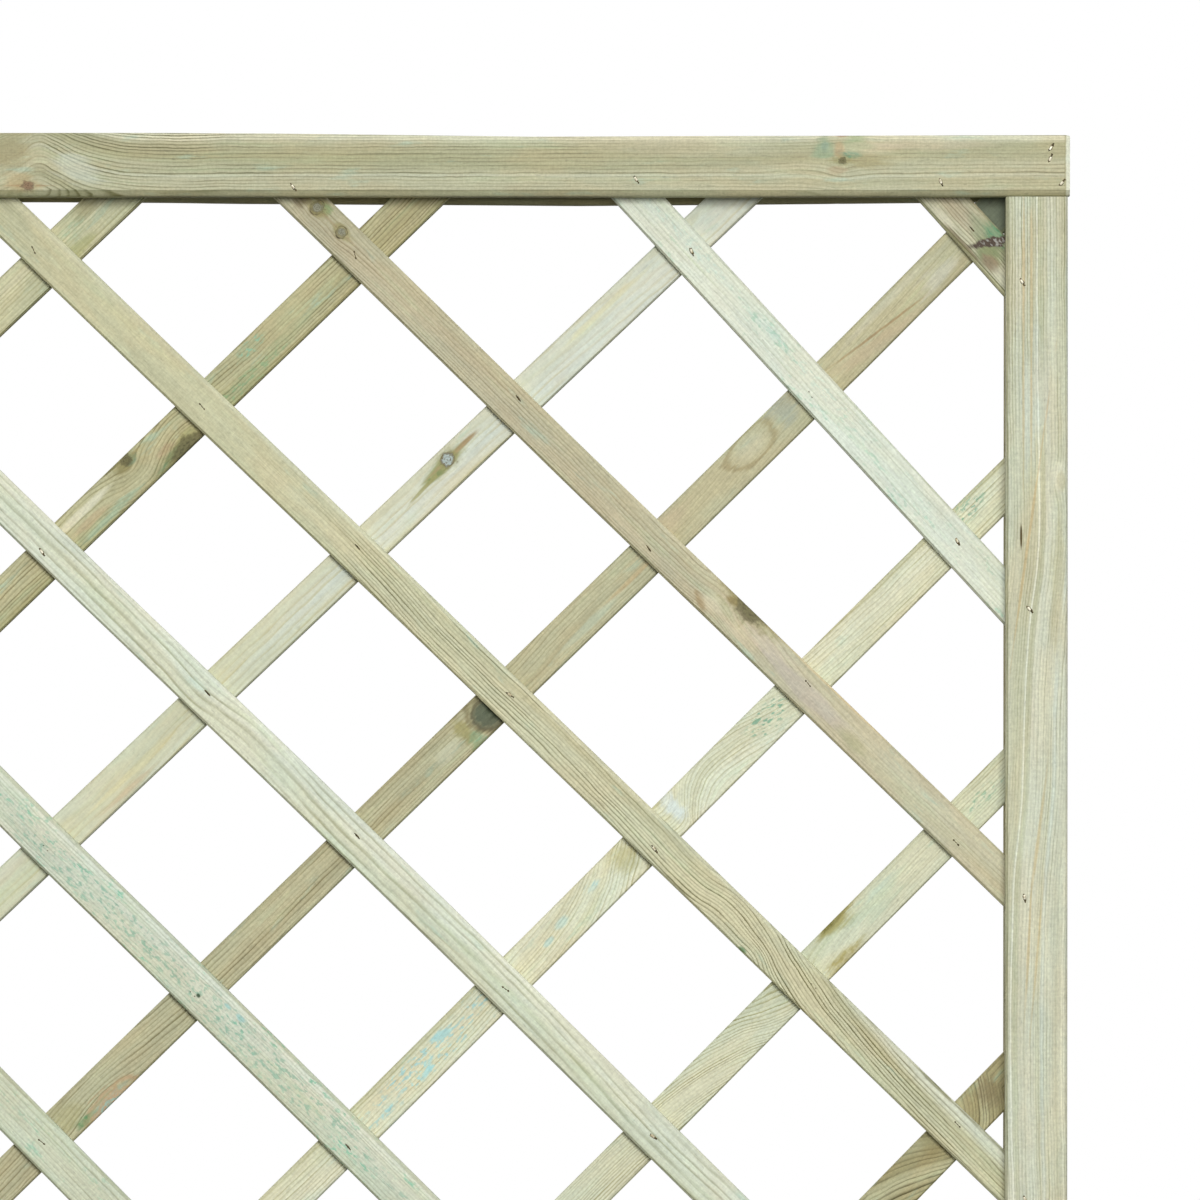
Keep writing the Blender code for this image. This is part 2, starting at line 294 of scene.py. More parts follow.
# The boards that the photograph shows
SEEN = {}
# The back top rail is toned darker than the other boards: painted shade for the recess under the front
# rail
SEEN["back_top_rail"] = Timber(
    (150, 144, 112), (96, 90, 60), (136, 128, 96), pitch=2.6, heart=(-60, 24), line=0.7,
)
SEEN["front_top_rail"] = Timber(
    (185, 182, 151), (106, 104, 72), (168, 166, 132), pitch=2.3, heart=(-60, 24), line=0.8,
    wave=0.6, edges=(0.5, 0.15),
    clear=(
        (0, 0.7), (40, 0.5), (66, 1.5), (150, 1.5), (300, 1.1), (520, 0.95), (800, 0.65), (1072, 0.7),
    ),
    lifts=((-40, 0), (0, 5), (28, 13), (46, 21), (62, 17), (85, 9), (115, 3), (150, 0), (230, 0)),
    features=[
        Mark((18, 8), 20, 16, (160, 152, 116), 0.85, 0.4),
        Mark((26, -11), 15, 8, (182, 164, 124), 0.7, 0.6),
        Mark((86, -3), 24, 12, (200, 208, 192), 0.45, 0.7, turn=-20),
        Knot((36, -15), 3.2, "brown", swirl=5, stretch=1.2),
        Mark((36.5, -15), 3.4, 3.4, (84, 66, 56), 0.9, 1.2, fleck=0.4),
        Mark((858, 15), 16, 11, (148, 168, 128), 0.75, 0.9),
        Mark((868, 2), 26, 7, (162, 152, 112), 0.7, 0.8),
        Mark((828, 13), 9, 13, (146, 164, 132), 0.75, 0.9),
        Mark((828, 14), 4, 5, (132, 156, 140), 0.5, 1.1),
        Mark((843, 9), 5, 11, (172, 148, 110), 0.7, 0.8, turn=6),
        Mark((844, 20.5), 7, 2.4, (140, 106, 84), 0.8, 0.8),
        Mark((853, 6), 9, 4, (92, 140, 112), 0.8, 1.1, fleck=0.5),
        Mark((840, -4), 9, 5, (172, 150, 118), 0.5, 0.8),
        Knot((845, 2.5), 2.3, "dark", swirl=7, stretch=1.0),
        Rise((806, -4), 22, 8, -2),
        Mark((870, 12), 30, 7, (208, 196, 168), 0.4, 0.6),
        # Painted highlight on the lit upper edge
        Band(20.5, 9, (218, 215, 186), 0.9),
        Band(8, 11, (166, 162, 124), 0.5),
        # The right end: a dark line at its crease, then painted highlight on the lit end bevel
        Mark((1065.8, 0), 1.0, 60, (140, 134, 94), 0.8, 0.2),
        Mark((1069.4, 0), 3.4, 60, (226, 230, 208), 1.3, 0.2),
        Band(-8, 3, (200, 202, 178), 0.4),
        Mark((700, 12), 90, 9, (186, 184, 158), 0.35, 0.5),
        Mark((930, 14), 50, 6, (196, 186, 160), 0.4, 0.5),
    ],
)
SEEN["front_right_stile"] = Timber(
    (203, 205, 183), (138, 138, 104), (190, 189, 160), pitch=2.0, heart=(70, 12), line=0.75,
    wave=0.35, stain=0.05, edges=(0.0, 0.6),
    clear=((140, 1.2), (300, 1.2), (440, 0.8), (620, 0.7), (1200, 0.75)),
    lifts=(
        (200, -16), (420, -17), (484, -18), (560, -17), (620, -12), (700, -8), (800, -6), (900, 0),
        (1200, 0),
    ),
    features=[
        Mark((539, 11.5), 11, 1.0, (84, 74, 46), 1.3, 0.4),
        Mark((484, -16), 8, 4, (150, 142, 88), 0.9, 0.8),
        Rise((484, -12), 14, 7, 3),
        Mark((480, -14), 16, 7, (216, 214, 190), 0.6, 0.6),
        Mark((400, 2), 60, 12, (204, 214, 204), 0.4, 0.7),
        Mark((600, -14), 70, 7, (182, 176, 138), 0.5, 0.7),
        Mark((300, 10), 160, 1.3, (190, 170, 126), 0.6, 0.6),
        Mark((330, 4.5), 140, 1.3, (190, 170, 126), 0.6, 0.6),
        Mark((540, 6), 130, 1.2, (186, 164, 118), 0.6, 0.6, turn=-8),
        Mark((950, 6), 60, 1.4, (186, 168, 122), 0.6, 0.6, turn=-3),
        Mark((840, -1), 70, 1.6, (186, 168, 122), 0.6, 0.6, turn=-7),
        Mark((960, 0), 80, 1.2, (186, 168, 122), 0.5, 0.6, turn=-5),
        Band(14, 3, (176, 180, 148), 0.5),
        Band(17, 1.6, (226, 228, 208), 0.7),
        Band(-5, 3, (204, 212, 198), 0.6),
        Band(-19, 3, (216, 216, 190), 0.6),
    ],
)
SEEN["front_slat_01"] = Timber(
    (194, 190, 160), (92, 88, 58), (168, 160, 130), pitch=2.0, heart=(40, 12), line=0.8,
    wave=1.2, reach=50, stain=0.3, edges=(0.9, 0.15),
    features=[
        Mark((958, 0), 26, 8, (172, 154, 128), 0.35, 0.7),
        Mark((952, -9), 14, 4, (212, 206, 178), 0.8, 0.6),
        Mark((983, 5), 20, 13, (142, 154, 122), 0.7, 0.8),
        Mark((985, 9), 11, 7, (100, 146, 112), 1.0, 1.1, fleck=0.4),
        Mark((992, -3), 16, 11, (130, 138, 98), 0.9, 0.6),
        Mark((997, -6), 10, 7, (148, 124, 102), 0.7, 0.9),
        Mark((986.5, 3), 3.8, 19, (80, 68, 58), 1.5, 1.2, turn=-32),
        Mark((987, 4), 3.4, 16, (162, 162, 156), 0.9, 1.4, turn=-32, fleck=1),
        Mark((1012, -6), 14, 10, (212, 208, 180), 0.6, 0.5),
        Mark((975, -12), 26, 2.4, (112, 94, 66), 0.7, 0.5),
    ],
)
SEEN["front_slat_02"] = Timber(
    (217, 222, 205), (178, 186, 160), (210, 216, 198), pitch=2.6, heart=(60, 20), line=0.5,
    stain=0.3, specks=0.4,
    features=[
        Mark((690, 5), 50, 6, (180, 210, 196), 0.35, 1.0, fleck=1),
        Mark((820, 4), 60, 6, (180, 210, 196), 0.35, 1.0, fleck=1),
        # Painted highlight on the lit upper edge
        Band(13, 2.4, (228, 232, 216), 0.5),
    ],
)
SEEN["front_slat_03"] = Timber(
    (196, 191, 162), (134, 124, 92), (184, 177, 148), pitch=1.9, heart=(36, 22), line=0.7,
    clear=((280, 1), (640, 1), (720, 0.9), (800, 0.55), (1004, 0.45)),
    lifts=((600, 0), (690, 0), (722, 3), (740, 0), (760, -4), (790, -9), (820, -11), (1004, -12)),
    features=[
        Mark((315, 4), 8, 9, (136, 126, 80), 0.9, 0.9),
        Mark((320, 7), 6, 4, (132, 152, 104), 0.8, 0.9),
        Mark((302, 2), 7, 10, (104, 92, 62), 0.7, 0.6),
        Mark((338, 4), 8, 6, (150, 140, 98), 0.8, 0.9),
        Knot((314, 3.5), 3.4, "grey", swirl=5, stretch=1.1),
        Knot((339, 3.0), 2.8, "grey", swirl=4.5, stretch=1.1),
        Mark((314, 3.5), 4.6, 5.6, (84, 74, 56), 0.8, 0.8, hollow=1),
        Mark((339, 3), 4.2, 4, (64, 54, 40), 1.0, 0.8, hollow=1),
        Mark((760, 4), 40, 8, (202, 186, 166), 0.5, 0.8),
        Mark((812, -2), 50, 9, (190, 180, 164), 0.7, 0.8),
        Mark((858, -4), 18, 6, (166, 166, 130), 0.6, 0.9),
        # Painted highlight on the lit upper edge
        Mark((812, 13), 80, 1.8, (212, 192, 152), 0.9, 0.3),
        Knot((739, 13.5), 7.5, "dark", swirl=9, stretch=1.5),
        Mark((726, 10), 6, 4, (118, 96, 52), 0.75, 1.0),
        Rise((731, 11), 6, 5, 2.5),
        Mark((710, -8), 12, 4, (150, 128, 88), 0.6, 0.9, turn=-30),
        Mark((716, -2), 12, 8, (214, 206, 176), 0.5, 0.7),
        Mark((745, -4), 20, 8, (206, 194, 164), 0.4, 0.7),
        Band(9, 9, (184, 178, 142), 0.3),
        # Painted highlight on the lit upper edge
        Mark((560, 13.2), 420, 2.4, (212, 206, 174), 0.45, 0.3),
    ],
)
SEEN["front_slat_04"] = Timber(
    (203, 201, 168), (100, 97, 58), (188, 185, 150), pitch=2.3, heart=(52, 10), line=0.95,
    wave=0.8, reach=90,
    clear=((-90, 0.3), (330, 0.35), (385, 0.9), (520, 1), (660, 0.8), (700, 1.05), (1004, 0.9)),
    lifts=(
        (340, 0), (370, -0.5), (420, -4), (460, -6), (560, -6), (640, -8), (700, -10), (730, -6),
        (760, -9), (790, -17), (820, -24), (860, -29), (900, -32), (1000, -35),
    ),
    features=[
        Rise((766, -10), 12, 9, 3),
        Mark((757, -13), 5, 2.5, (84, 124, 84), 0.85),
        Band(47, 16, (208, 210, 188), 0.95),
        # Painted highlight on the lit upper edge
        Mark((420, 13.2), 620, 2.6, (216, 216, 188), 0.55, 0.3),
        Mark((170, 0), 180, 20, (190, 186, 150), 0.55, 0.3),
    ],
)
SEEN["front_slat_05"] = Timber(
    (213, 217, 197), (128, 130, 90), (203, 207, 182), pitch=4.6, heart=(46, 20), line=0.68,
    wave=0.8, reach=90,
    lifts=(
        (0, 0), (60, 0.5), (120, 0), (175, -1.5), (205, -3), (230, 0), (255, 2), (285, 0.5),
        (320, -1.5), (400, -2), (500, -1), (560, -2), (620, -5), (680, -7), (720, -6),
    ),
    # Painted highlight on the lit upper edge
    features=[Mark((320, 13.2), 560, 2.8, (228, 231, 214), 0.6, 0.3)],
)
SEEN["front_slat_06"] = Timber(
    (207, 210, 190), (160, 166, 138), (195, 201, 178), pitch=2.2, heart=(64, 14), line=0.5,
    specks=0.9, stain=0.35,
    features=[
        Mark((228, 7), 4, 1.6, (146, 196, 190), 0.7, 0.9),
        Mark((241, 7), 5, 2.4, (146, 196, 194), 0.7, 0.9),
        Mark((190, -2), 220, 13, (138, 176, 152), 0.75, 1.2, fleck=1),
        # Painted highlight along the lit upper edge
        Band(11, 5, (222, 226, 210), 0.6),
        Mark((208, -2), 2.4, 1.8, (50, 72, 50), 0.95),
    ],
)
SEEN["front_slat_07"] = Timber(
    (206, 212, 190), (158, 162, 130), (198, 204, 180), pitch=2.3, line=0.6, specks=0.5,
)
SEEN["back_slat_06"] = Timber(
    (206, 202, 168), (140, 136, 92), (192, 190, 154), pitch=2.4, heart=(40, 20), line=0.55,
    stain=0.2, edges=(0.9, 0.2),
    features=[
        Mark((76, 4), 20, 9, (158, 182, 150), 0.6, 1.2, fleck=0.6),
        Mark((70, -9), 18, 6, (162, 164, 112), 0.6, 1.0),
        Mark((96, 8), 18, 6, (146, 138, 98), 0.6, 0.8),
    ],
)
SEEN["back_slat_07"] = Timber(
    (187, 182, 144), (108, 100, 60), (170, 164, 124), pitch=2.1, heart=(30, 20), line=0.7,
    wave=0.9, reach=60, stain=0.35,
    lifts=(
        (-60, 0), (60, 0), (100, 1), (137, -4), (160, 0), (178, 3), (200, 1), (260, -1), (440, 0),
    ),
    features=[
        Mark((135, 8), 12, 7, (138, 130, 86), 0.8, 1.0),
        Mark((141, 8), 7, 7, (116, 138, 112), 0.8, 1.1),
        Knot((137, 11), 3.4, "dark", swirl=8, stretch=1.2),
        Mark((138, 10), 4, 5, (58, 76, 66), 1.0, 1.1, fleck=0.4),
        Knot((176, -13), 6.0, "dark", swirl=8, stretch=2.0),
        Mark((168, -10), 20, 5, (108, 128, 92), 0.8, 1.0),
        Mark((181, -6), 12, 5, (172, 172, 122), 0.7, 0.8),
        Mark((163, -3), 10, 4, (174, 148, 120), 0.4, 0.8),
        Mark((84, 6), 36, 4, (218, 213, 184), 0.9, 0.4),
        Mark((88, -3), 20, 4, (190, 160, 124), 0.4, 0.8),
        Mark((256, 7), 18, 5, (140, 180, 150), 0.9, 1.2, fleck=0.8),
        Mark((245, -7), 44, 8, (134, 164, 122), 0.7, 1.2, fleck=0.7),
        Mark((100, -9), 30, 4, (156, 180, 152), 0.6, 1.1),
        Mark((160, -14), 24, 4, (104, 132, 96), 0.7, 1.1, fleck=0.3),
        Band(-12, 4, (162, 156, 108), 0.5),
    ],
)
SEEN["back_slat_08"] = Timber(
    (206, 211, 196), (178, 168, 118), (202, 202, 172), pitch=3.0, heart=(16, 30), line=0.5,
    fine=0.3, wave=0.9, reach=120,
    lifts=((0, 0), (120, 0), (190, 5), (300, 7), (420, 4), (520, 3), (600, -1), (700, -6)),
    features=[
        Mark((444, 3.8), 21, 5.4, (146, 152, 104), 1.0, 0.6),
        Mark((430, 2), 26, 1.6, (150, 148, 98), 0.8, 0.6, turn=4),
        Mark((442, 3), 10, 3, (96, 122, 80), 0.6, 1.2, fleck=1),
        Mark((467, 5.6), 20, 2.6, (154, 136, 102), 1.0, 0.6),
        Mark((453, 4.6), 11, 7, (140, 138, 92), 0.9, 0.6),
        Knot((453, 5), 4.4, "eye", swirl=7, stretch=1.1),
        Mark((453, 5), 5.2, 5.2, (88, 70, 54), 1.1, 0.3, hollow=1),
        Mark((462, -3), 16, 5, (196, 204, 190), 0.6, 0.8),
        Mark((450, -9), 22, 3, (204, 196, 160), 0.3, 0.8),
        Rise((456, -10), 26, 7, 2.5),
        Mark((600, 6), 60, 3, (212, 206, 160), 0.5, 0.7),
        Mark((130, -2), 50, 3, (212, 206, 160), 0.5, 0.7),
        Mark((120, -9), 30, 2.4, (190, 164, 128), 0.5, 0.7),
    ],
)
SEEN["back_slat_09"] = Timber(
    (184, 180, 146), (108, 100, 62), (168, 162, 128), pitch=2.3, heart=(44, 20), line=0.65,
    wave=0.7, reach=130, stain=0.25,
    clear=(
        (0, 0.9), (50, 0.9), (100, 1.2), (150, 1.1), (330, 1), (520, 0.7), (640, 0.6), (700, 0.35),
        (960, 0.35), (1060, 0.3),
    ),
    lifts=(
        (0, 0), (110, 0), (300, 0), (440, 1), (520, -2), (560, 0), (680, 0), (760, 6), (860, 12),
        (1060, 22),
    ),
    features=[
        Mark((465, 1), 7, 16, (152, 146, 96), 0.8, 0.9),
        Mark((468, -8), 7, 7, (120, 156, 124), 0.8, 1.1, fleck=0.4),
        Mark((447, -2), 18, 6, (200, 200, 172), 0.5, 0.8),
        Mark((488, 1), 18, 17, (140, 132, 92), 0.7, 0.3),
        Mark((488, 1), 18, 16, (112, 102, 68), 0.6, 0.2, hollow=1),
        Mark((487, -1), 13.5, 12.5, (88, 80, 58), 0.8, 0.25, hollow=1),
        Mark((487, -1), 15, 13.5, (92, 98, 78), 1.4, 0.3),
        Mark((492, -2), 8, 9, (62, 70, 48), 0.8, 0.8),
        Knot((98, -16), 7, "resin", swirl=17, stretch=2.0),
        Mark((98, -16), 28, 14, (176, 148, 114), 0.8, 0.4, hollow=1),
        Mark((95, -13), 22, 6, (150, 172, 156), 1.1, 0.8),
        Mark((76, -10), 12, 6, (104, 138, 96), 1.1, 1.1, fleck=0.4),
        Mark((70, 2), 14, 12, (164, 156, 106), 0.4, 0.8),
        Mark((755, 4), 25, 13, (148, 136, 98), 0.6, 0.35, hollow=1),
        Mark((755, 4), 18, 9, (196, 196, 170), 0.4, 0.4),
        Mark((672, 6), 26, 9, (184, 170, 142), 0.5, 0.7),
        Mark((625, -4), 36, 2.2, (194, 168, 124), 0.55, 0.7),
        Mark((580, -6), 40, 4, (184, 194, 168), 0.6, 0.7),
        Mark((790, 4), 16, 12, (160, 166, 148), 0.8, 0.8),
        Mark((868, -6), 50, 7, (182, 168, 138), 0.6, 0.5, turn=-8),
        Mark((880, -2), 56, 1.4, (150, 128, 92), 0.8, 0.5, turn=-8),
        Mark((900, 9), 60, 4, (196, 194, 168), 0.6, 0.6),
        Mark((935, -4), 26, 8, (196, 196, 178), 0.6, 0.8),
        # Painted shade of the rail and stile in the corner, partly a green-grey stain
        Mark((1000, 0), 34, 30, (104, 110, 90), 1.2, 0.3),
    ],
)
SEEN["back_slat_10"] = Timber(
    (216, 218, 193), (156, 152, 106), (210, 208, 176), pitch=2.5, heart=(-60, 20), line=0.65,
    wave=0.9, reach=70, stain=0.25,
    lifts=(
        (290, 0), (520, 2), (560, 6), (600, 18), (630, 34), (646, 40), (662, 4), (672, 0), (686, 10),
        (700, 20), (715, 24), (740, 21), (770, 13), (800, 6), (840, 2), (1000, 0),
    ),
    features=[
        Mark((678, 3), 8, 14, (212, 221, 214), 0.85, 0.9),
        Mark((385, -3), 14, 6, SKY, 0.7, 1.1, fleck=0.7),
        Mark((430, 0), 70, 14, (156, 204, 204), 0.8, 1.2, fleck=1),
        Mark((448, 6), 12, 4, SKY, 0.8, 1.0, turn=-20),
        Mark((424, -4), 14, 3.4, SKY, 0.8, 1.0, turn=24),
        Mark((350, 0), 24, 8, (176, 206, 196), 0.7, 1.1, fleck=0.6),
        Mark((548, -1), 5, 2.4, SKY, 0.5, 0.8),
        Mark((565, 2), 7, 4, SKY, 0.4, 0.9),
        Mark((598, 4), 10, 5, SKY, 0.6, 1.1, fleck=0.5),
        Mark((772, 2), 24, 12, (100, 158, 130), 0.75, 0.9, fleck=1),
        Mark((628, 4), 16, 14, (172, 166, 112), 0.6, 0.6),
        Mark((975, 6), 20, 10, (120, 166, 140), 0.8, 1.0, fleck=1),
        Band(13, 4, (170, 164, 116), 0.4),
    ],
)
SEEN["back_slat_11"] = Timber(
    (207, 209, 182), (146, 142, 94), (198, 201, 172), pitch=1.9, heart=(60, 16), line=0.75,
    wave=0.6, reach=90, stain=0.3,
    clear=((600, 1), (790, 1), (825, 0.5), (930, 0.5), (1000, 0.9)),
    lifts=(
        (600, 0), (660, -2), (700, -7), (740, -17), (780, -30), (830, -30), (900, -27), (1000, -28),
    ),
    features=[
        Knot((803, 10), 2, swirl=16, stretch=1.5),
        Mark((850, 10), 22, 7, (154, 146, 84), 0.85, 1.2),
        Mark((848, 14), 13, 4, (120, 112, 54), 0.9, 1.2, fleck=0.5),
        Mark((834, -9), 22, 7, (158, 148, 84), 0.8, 1.2, fleck=0.3),
        Mark((880, 2), 40, 9, (176, 196, 168), 0.4, 1.0),
        Mark((884, 8), 22, 4, (170, 200, 188), 0.35, 1.1),
        Mark((985, 0), 20, 9, (130, 168, 140), 0.7, 1.0, fleck=1),
    ],
)
SEEN["back_slat_12"] = Timber(
    (182, 178, 140), (84, 78, 44), (158, 150, 110), pitch=3.4, heart=(70, 20), line=0.85,
    wave=0.6, reach=80,
    lifts=(
        (880, 0), (900, -6), (920, -13), (945, -24), (957, -26), (970, -20), (985, -6), (1000, 12),
    ),
    features=[
        Knot((958, 15), 3, "dark", swirl=14, stretch=1.3),
        Mark((992, 4), 16, 14, (118, 106, 76), 0.6, 0.6),
        Mark((938, 6), 12, 12, (140, 130, 86), 0.5, 0.6),
    ],
)

# The looks that all other boards are drawn from
KINDS = [
    Timber((218, 223, 206), (178, 186, 160), (210, 216, 198), pitch=2.6, line=0.5, specks=0.4),
    Timber((214, 217, 193), (172, 166, 120), (208, 206, 176), pitch=2.8, line=0.6),
    Timber((210, 214, 193), (130, 132, 94), (202, 205, 180), pitch=3.4, line=0.75),
    Timber((204, 202, 170), (108, 106, 68), (192, 188, 154), pitch=2.6, line=0.9, stain=0.35),
    Timber((200, 193, 163), (134, 122, 90), (188, 178, 148), pitch=2.1, line=0.7),
    Timber((194, 188, 152), (106, 96, 60), (178, 170, 130), pitch=2.6, line=0.75, stain=0.4),
]

# How often a drawn board's grain wanders aside, how near to its middle the tree's heart narrows
# its rings, and by how much
LIFT_STEP = 0.16
NEAR_HEART = 26
NEAR_HEART_PITCH = 0.5


# Noise drawn out along a board: its features to a metre along it and across it, how many finer
# layers it has, and how strong those are
PATTERNS = {
    "shiver": (40, 110, 3, 0.55),
    "patches": (12, 130, 3, 0.6),
    "streak": (7, 230, 3, 0.6),
    "blotch": (16, 60, 3, 0.6),
    "damp": (26, 110, 3, 0.6),
    "dots": (190, 420, 2, 0.55),
    "hue": (14, 46, 3, 0.6),
    "fibre": (70, 900, 3, 0.7),
    "dashes": (420, 620, 2, 0.7),
    "pores": (170, 760, 1, 0.55),
    "planing": (700, 130, 1, 0.55),
}
SWING_ACROSS = 26
SWING_SCALE = 4 * MM
SHIVER = 1.8 * MM

# From where to where the soft thresholds rise or fall
SPANS = {
    "core": (0.6, 1.12),
    "rim_inside": (0.55, 0.95),
    "rim_outside": (0.95, 1.4),
    "rings": (0.4, 0.75),
    "halo": (0.7, 1.9),
    "tip_side": (0.35, 1.0),
    "tip_start": (0.5, 0.9),
    "patch": (0.35, 1.0),
    "hoop_inside": (0.66, 0.84),
    "hoop_outside": (0.86, 1.04),
    "ring_dark": (0.25, 0.82),
    "ring_end": (0.84, 1.0),
    "patches": (0.3, 0.66),
    "drift": (0.38, 0.64),
    "stain": (0.56, 0.74),
    "damp": (0.6, 0.76),
    "dots": (0.5, 0.62),
    "specks": (0.5, 0.66),
    "crease": (0.3, 0.6),
    "hue": (0.36, 0.64),
    "pores": (0.64, 0.78),
    "plain": (0.4, 0.62),
}

# A knot: the noise inside it in features to its radius, and what its outline and its ripples make
# of that. Then how far it pushes the grain aside, its halo, its tips, and the strength of its parts
KNOT_ROUGH = (1.0, 1.3, 1.3)
KNOT_RAGGED = (1.5, 0.25)
KNOT_GREY = (2.6, 4.5, 4.5)
KNOT_RIPPLES = 17.0
RIPPLE_SHARE = 0.1
KNOT_PUSH = 0.94
HALO_STRETCH = 2.4
TIP_NARROWNESS = 1.7
TIP_SPREAD = 0.3
KNOT_SHARES = {"Halo": 0.55, "Tips": 0.5, "Rim": 0.5, "Core": 0.85}
MARK_RAGGEDNESS = 3.4
BAND_SOFTNESS = (0.2, 0.7)

# Each board's noise is shifted by its seed
SEED_SHIFT = (0.31, 0.07, 0.053)
STREAK_SHIFT = (0.19, 0.07, 0.0)
DAMP_SHIFT = (4.0, 9.0, 2.0)
DRIFT_SHIFT = 2.3
RING_SHIFT = 1.7
LUCK_SHIFT = 17.0

# The rings: how often and how far they stand unevenly, how their strength is drawn for each ring
# and changes in patches, and how the wood's drifting tone follows them
RING_NOISE = 95.0
RING_SWAY = 1.8
RING_LUCK = (0.6, 0.45)
PATCH_STRENGTHS = (0.3, 1.25)
DRIFT_ALONG = 1.6
DRIFT_OUT = 60.0

# The edges, whose darker tone is partly soil and partly painted shade: how much of that tone they
# take, from where to where beside the crease, and how wide and how faint at least the painted
# dark line of shade along it is
EDGE_SHARE = 0.5
SOIL_AND_SHADE_START, SOIL_AND_SHADE_END = -0.2 * MM, 0.3 * MM
CREASE_WIDTH = 0.7 * MM
CREASE_LEAST = 0.6

# The curves that hold how far the grain has wandered, in millimetres, and what share of their
# strength its lines keep, reach half of these spans up and down
LIFT_SPAN = 200
CLEAR_SPAN = 4

# How much broad stains and marks finer than the rings change the wood's brightness, and its tints
STAIN_SHARE = 0.55
BROAD_SHADE = (0.3, 0.85)
FINE_SHARES = {"fibre": 0.8, "dashes": 0.95, "planing": 0.4}
PORE_SHARE = 0.35
WARM_TINT = (1.02, 0.99, 0.965, 1)
COOL_TINT = (0.965, 1.0, 1.02, 1)

# The relief: its strength and depth, and the shares of late wood, fibres and knots in it. Then the
# roughness, from the fibres and less of it in late wood, and the gloss
RELIEF = {"Strength": 0.6, "Distance": 0.25 * MM}
LATE_RELIEF, FIBRE_RELIEF, KNOT_RELIEF = 0.5, 0.6, 0.3
ROUGHNESS = (0.22, 0.6)
LATE_GLOSS = 0.08
SPECULAR = 0.3


class Signal:
    """A number or a vector in a node tree. Arithmetic on it adds the nodes that work it out."""

    def __init__(self, tree, socket):
        self.tree = tree
        self.socket = socket
        self.is_vector = socket.type != "VALUE"

    def __add__(self, other):
        return self.tree.math("ADD", self, other)

    def __sub__(self, other):
        return self.tree.math("SUBTRACT", self, other)

    def __rsub__(self, other):
        return self.tree.math("SUBTRACT", other, self)

    def __mul__(self, other):
        if self.is_vector and not is_vector(other):
            return self.tree.add("ShaderNodeVectorMath", {0: self, 3: other}, operation="SCALE")
        return self.tree.math("MULTIPLY", self, other)

    def __truediv__(self, other):
        return self.tree.math("DIVIDE", self, other)

    def __rtruediv__(self, other):
        return self.tree.math("DIVIDE", other, self)

    def __pow__(self, exponent):
        return self.tree.math("POWER", self, exponent)

    def __abs__(self):
        return self.tree.math("ABSOLUTE", self)

    def scaled(self, factor, plus):
        return self.tree.math("MULTIPLY_ADD", self, factor, plus)

    def length(self):
        return self.tree.add("ShaderNodeVectorMath", {0: self}, "Value", operation="LENGTH")

    def parts(self):
        node = self.tree.node("ShaderNodeSeparateXYZ", {0: self})
        return [Signal(self.tree, output) for output in node.outputs]

    def step(self, span, low=0.0, high=1.0):
        """Runs smoothly from low to high over a pair of values, or one that SPANS names."""
        start, end = SPANS.get(span, span)
        inputs = {0: self, 1: start, 2: end, 3: low, 4: high}
        return self.tree.add("ShaderNodeMapRange", inputs, interpolation_type="SMOOTHSTEP")

    def fall(self, span):
        return self.step(span, 1.0, 0.0)


def is_vector(value):
    return isinstance(value, tuple) or isinstance(value, Signal) and value.is_vector


class Tree:
    """Adds nodes to a material or a group, one call for each."""

    def __init__(self, tree):
        self.tree = tree

    def node(self, kind, inputs=None, **settings):
        node = self.tree.nodes.new(kind)
        for setting, value in settings.items():
            setattr(node, setting, value)
        for key, value in (inputs or {}).items():
            if isinstance(value, Signal):
                self.tree.links.new(value.socket, node.inputs[key])
            else:
                node.inputs[key].default_value = value
        return node

    def add(self, kind, inputs=None, output=0, **settings):
        return Signal(self, self.node(kind, inputs, **settings).outputs[output])

    def group(self, group, **inputs):
        node = self.node("ShaderNodeGroup", inputs, node_tree=group)
        return {output.name: Signal(self, output) for output in node.outputs}

    def math(self, operation, *values):
        kind = "ShaderNodeVectorMath" if any(map(is_vector, values)) else "ShaderNodeMath"
        return self.add(kind, dict(enumerate(values)), operation=operation)

    def join(self, x, y, z=0.0):
        return self.add("ShaderNodeCombineXYZ", {0: x, 1: y, 2: z})

    def mix(self, share, first, second):
        inputs = {0: share, 6: first, 7: second}
        return self.add("ShaderNodeMix", inputs, 2, data_type="RGBA", clamp_factor=True)

    def noise(self, place, detail=2.0, roughness=0.55, output=0):
        inputs = {"Vector": place, "Scale": 1.0, "Detail": detail, "Roughness": roughness}
        return self.add("ShaderNodeTexNoise", inputs, output)

    def pattern(self, name, place, output=0):
        along, across, detail, roughness = PATTERNS[name]
        return self.noise(place * (along, across, across), detail, roughness, output)

    def coordinates(self, kind):
        return self.add("ShaderNodeTexCoord", output=kind)

    def ray(self, kind):
        return self.add("ShaderNodeLightPath", output=f"Is {kind} Ray")

    def surface(self, shader, output="ShaderNodeOutputMaterial"):
        self.node(output, {"Surface": shader})


def new_material(name):
    material = bpy.data.materials.new(name)
    return material, emptied(material)


def emptied(owner):
    """The node tree of a material or a world, with no nodes yet."""
    owner.use_nodes = True
    owner.node_tree.nodes.clear()
    return Tree(owner.node_tree)


def new_group(name, inputs):
    """A node group's tree and its inputs, which are named in one line."""
    group = bpy.data.node_groups.new(name, "ShaderNodeTree")
    add_sockets(group, inputs.split(), "INPUT")
    tree = Tree(group)
    given = tree.node("NodeGroupInput").outputs
    return tree, {output.name: Signal(tree, output) for output in given if output.name}


def finish_group(tree, **results):
    add_sockets(tree.tree, results, "OUTPUT")
    tree.node("NodeGroupOutput", results)
    return tree.tree


def add_sockets(group, names, way):
    for name in names:
        kind = "NodeSocketVector" if name in ("Place", "Grain", "Middle") else "NodeSocketFloat"
        group.interface.new_socket(name, in_out=way, socket_type=kind)


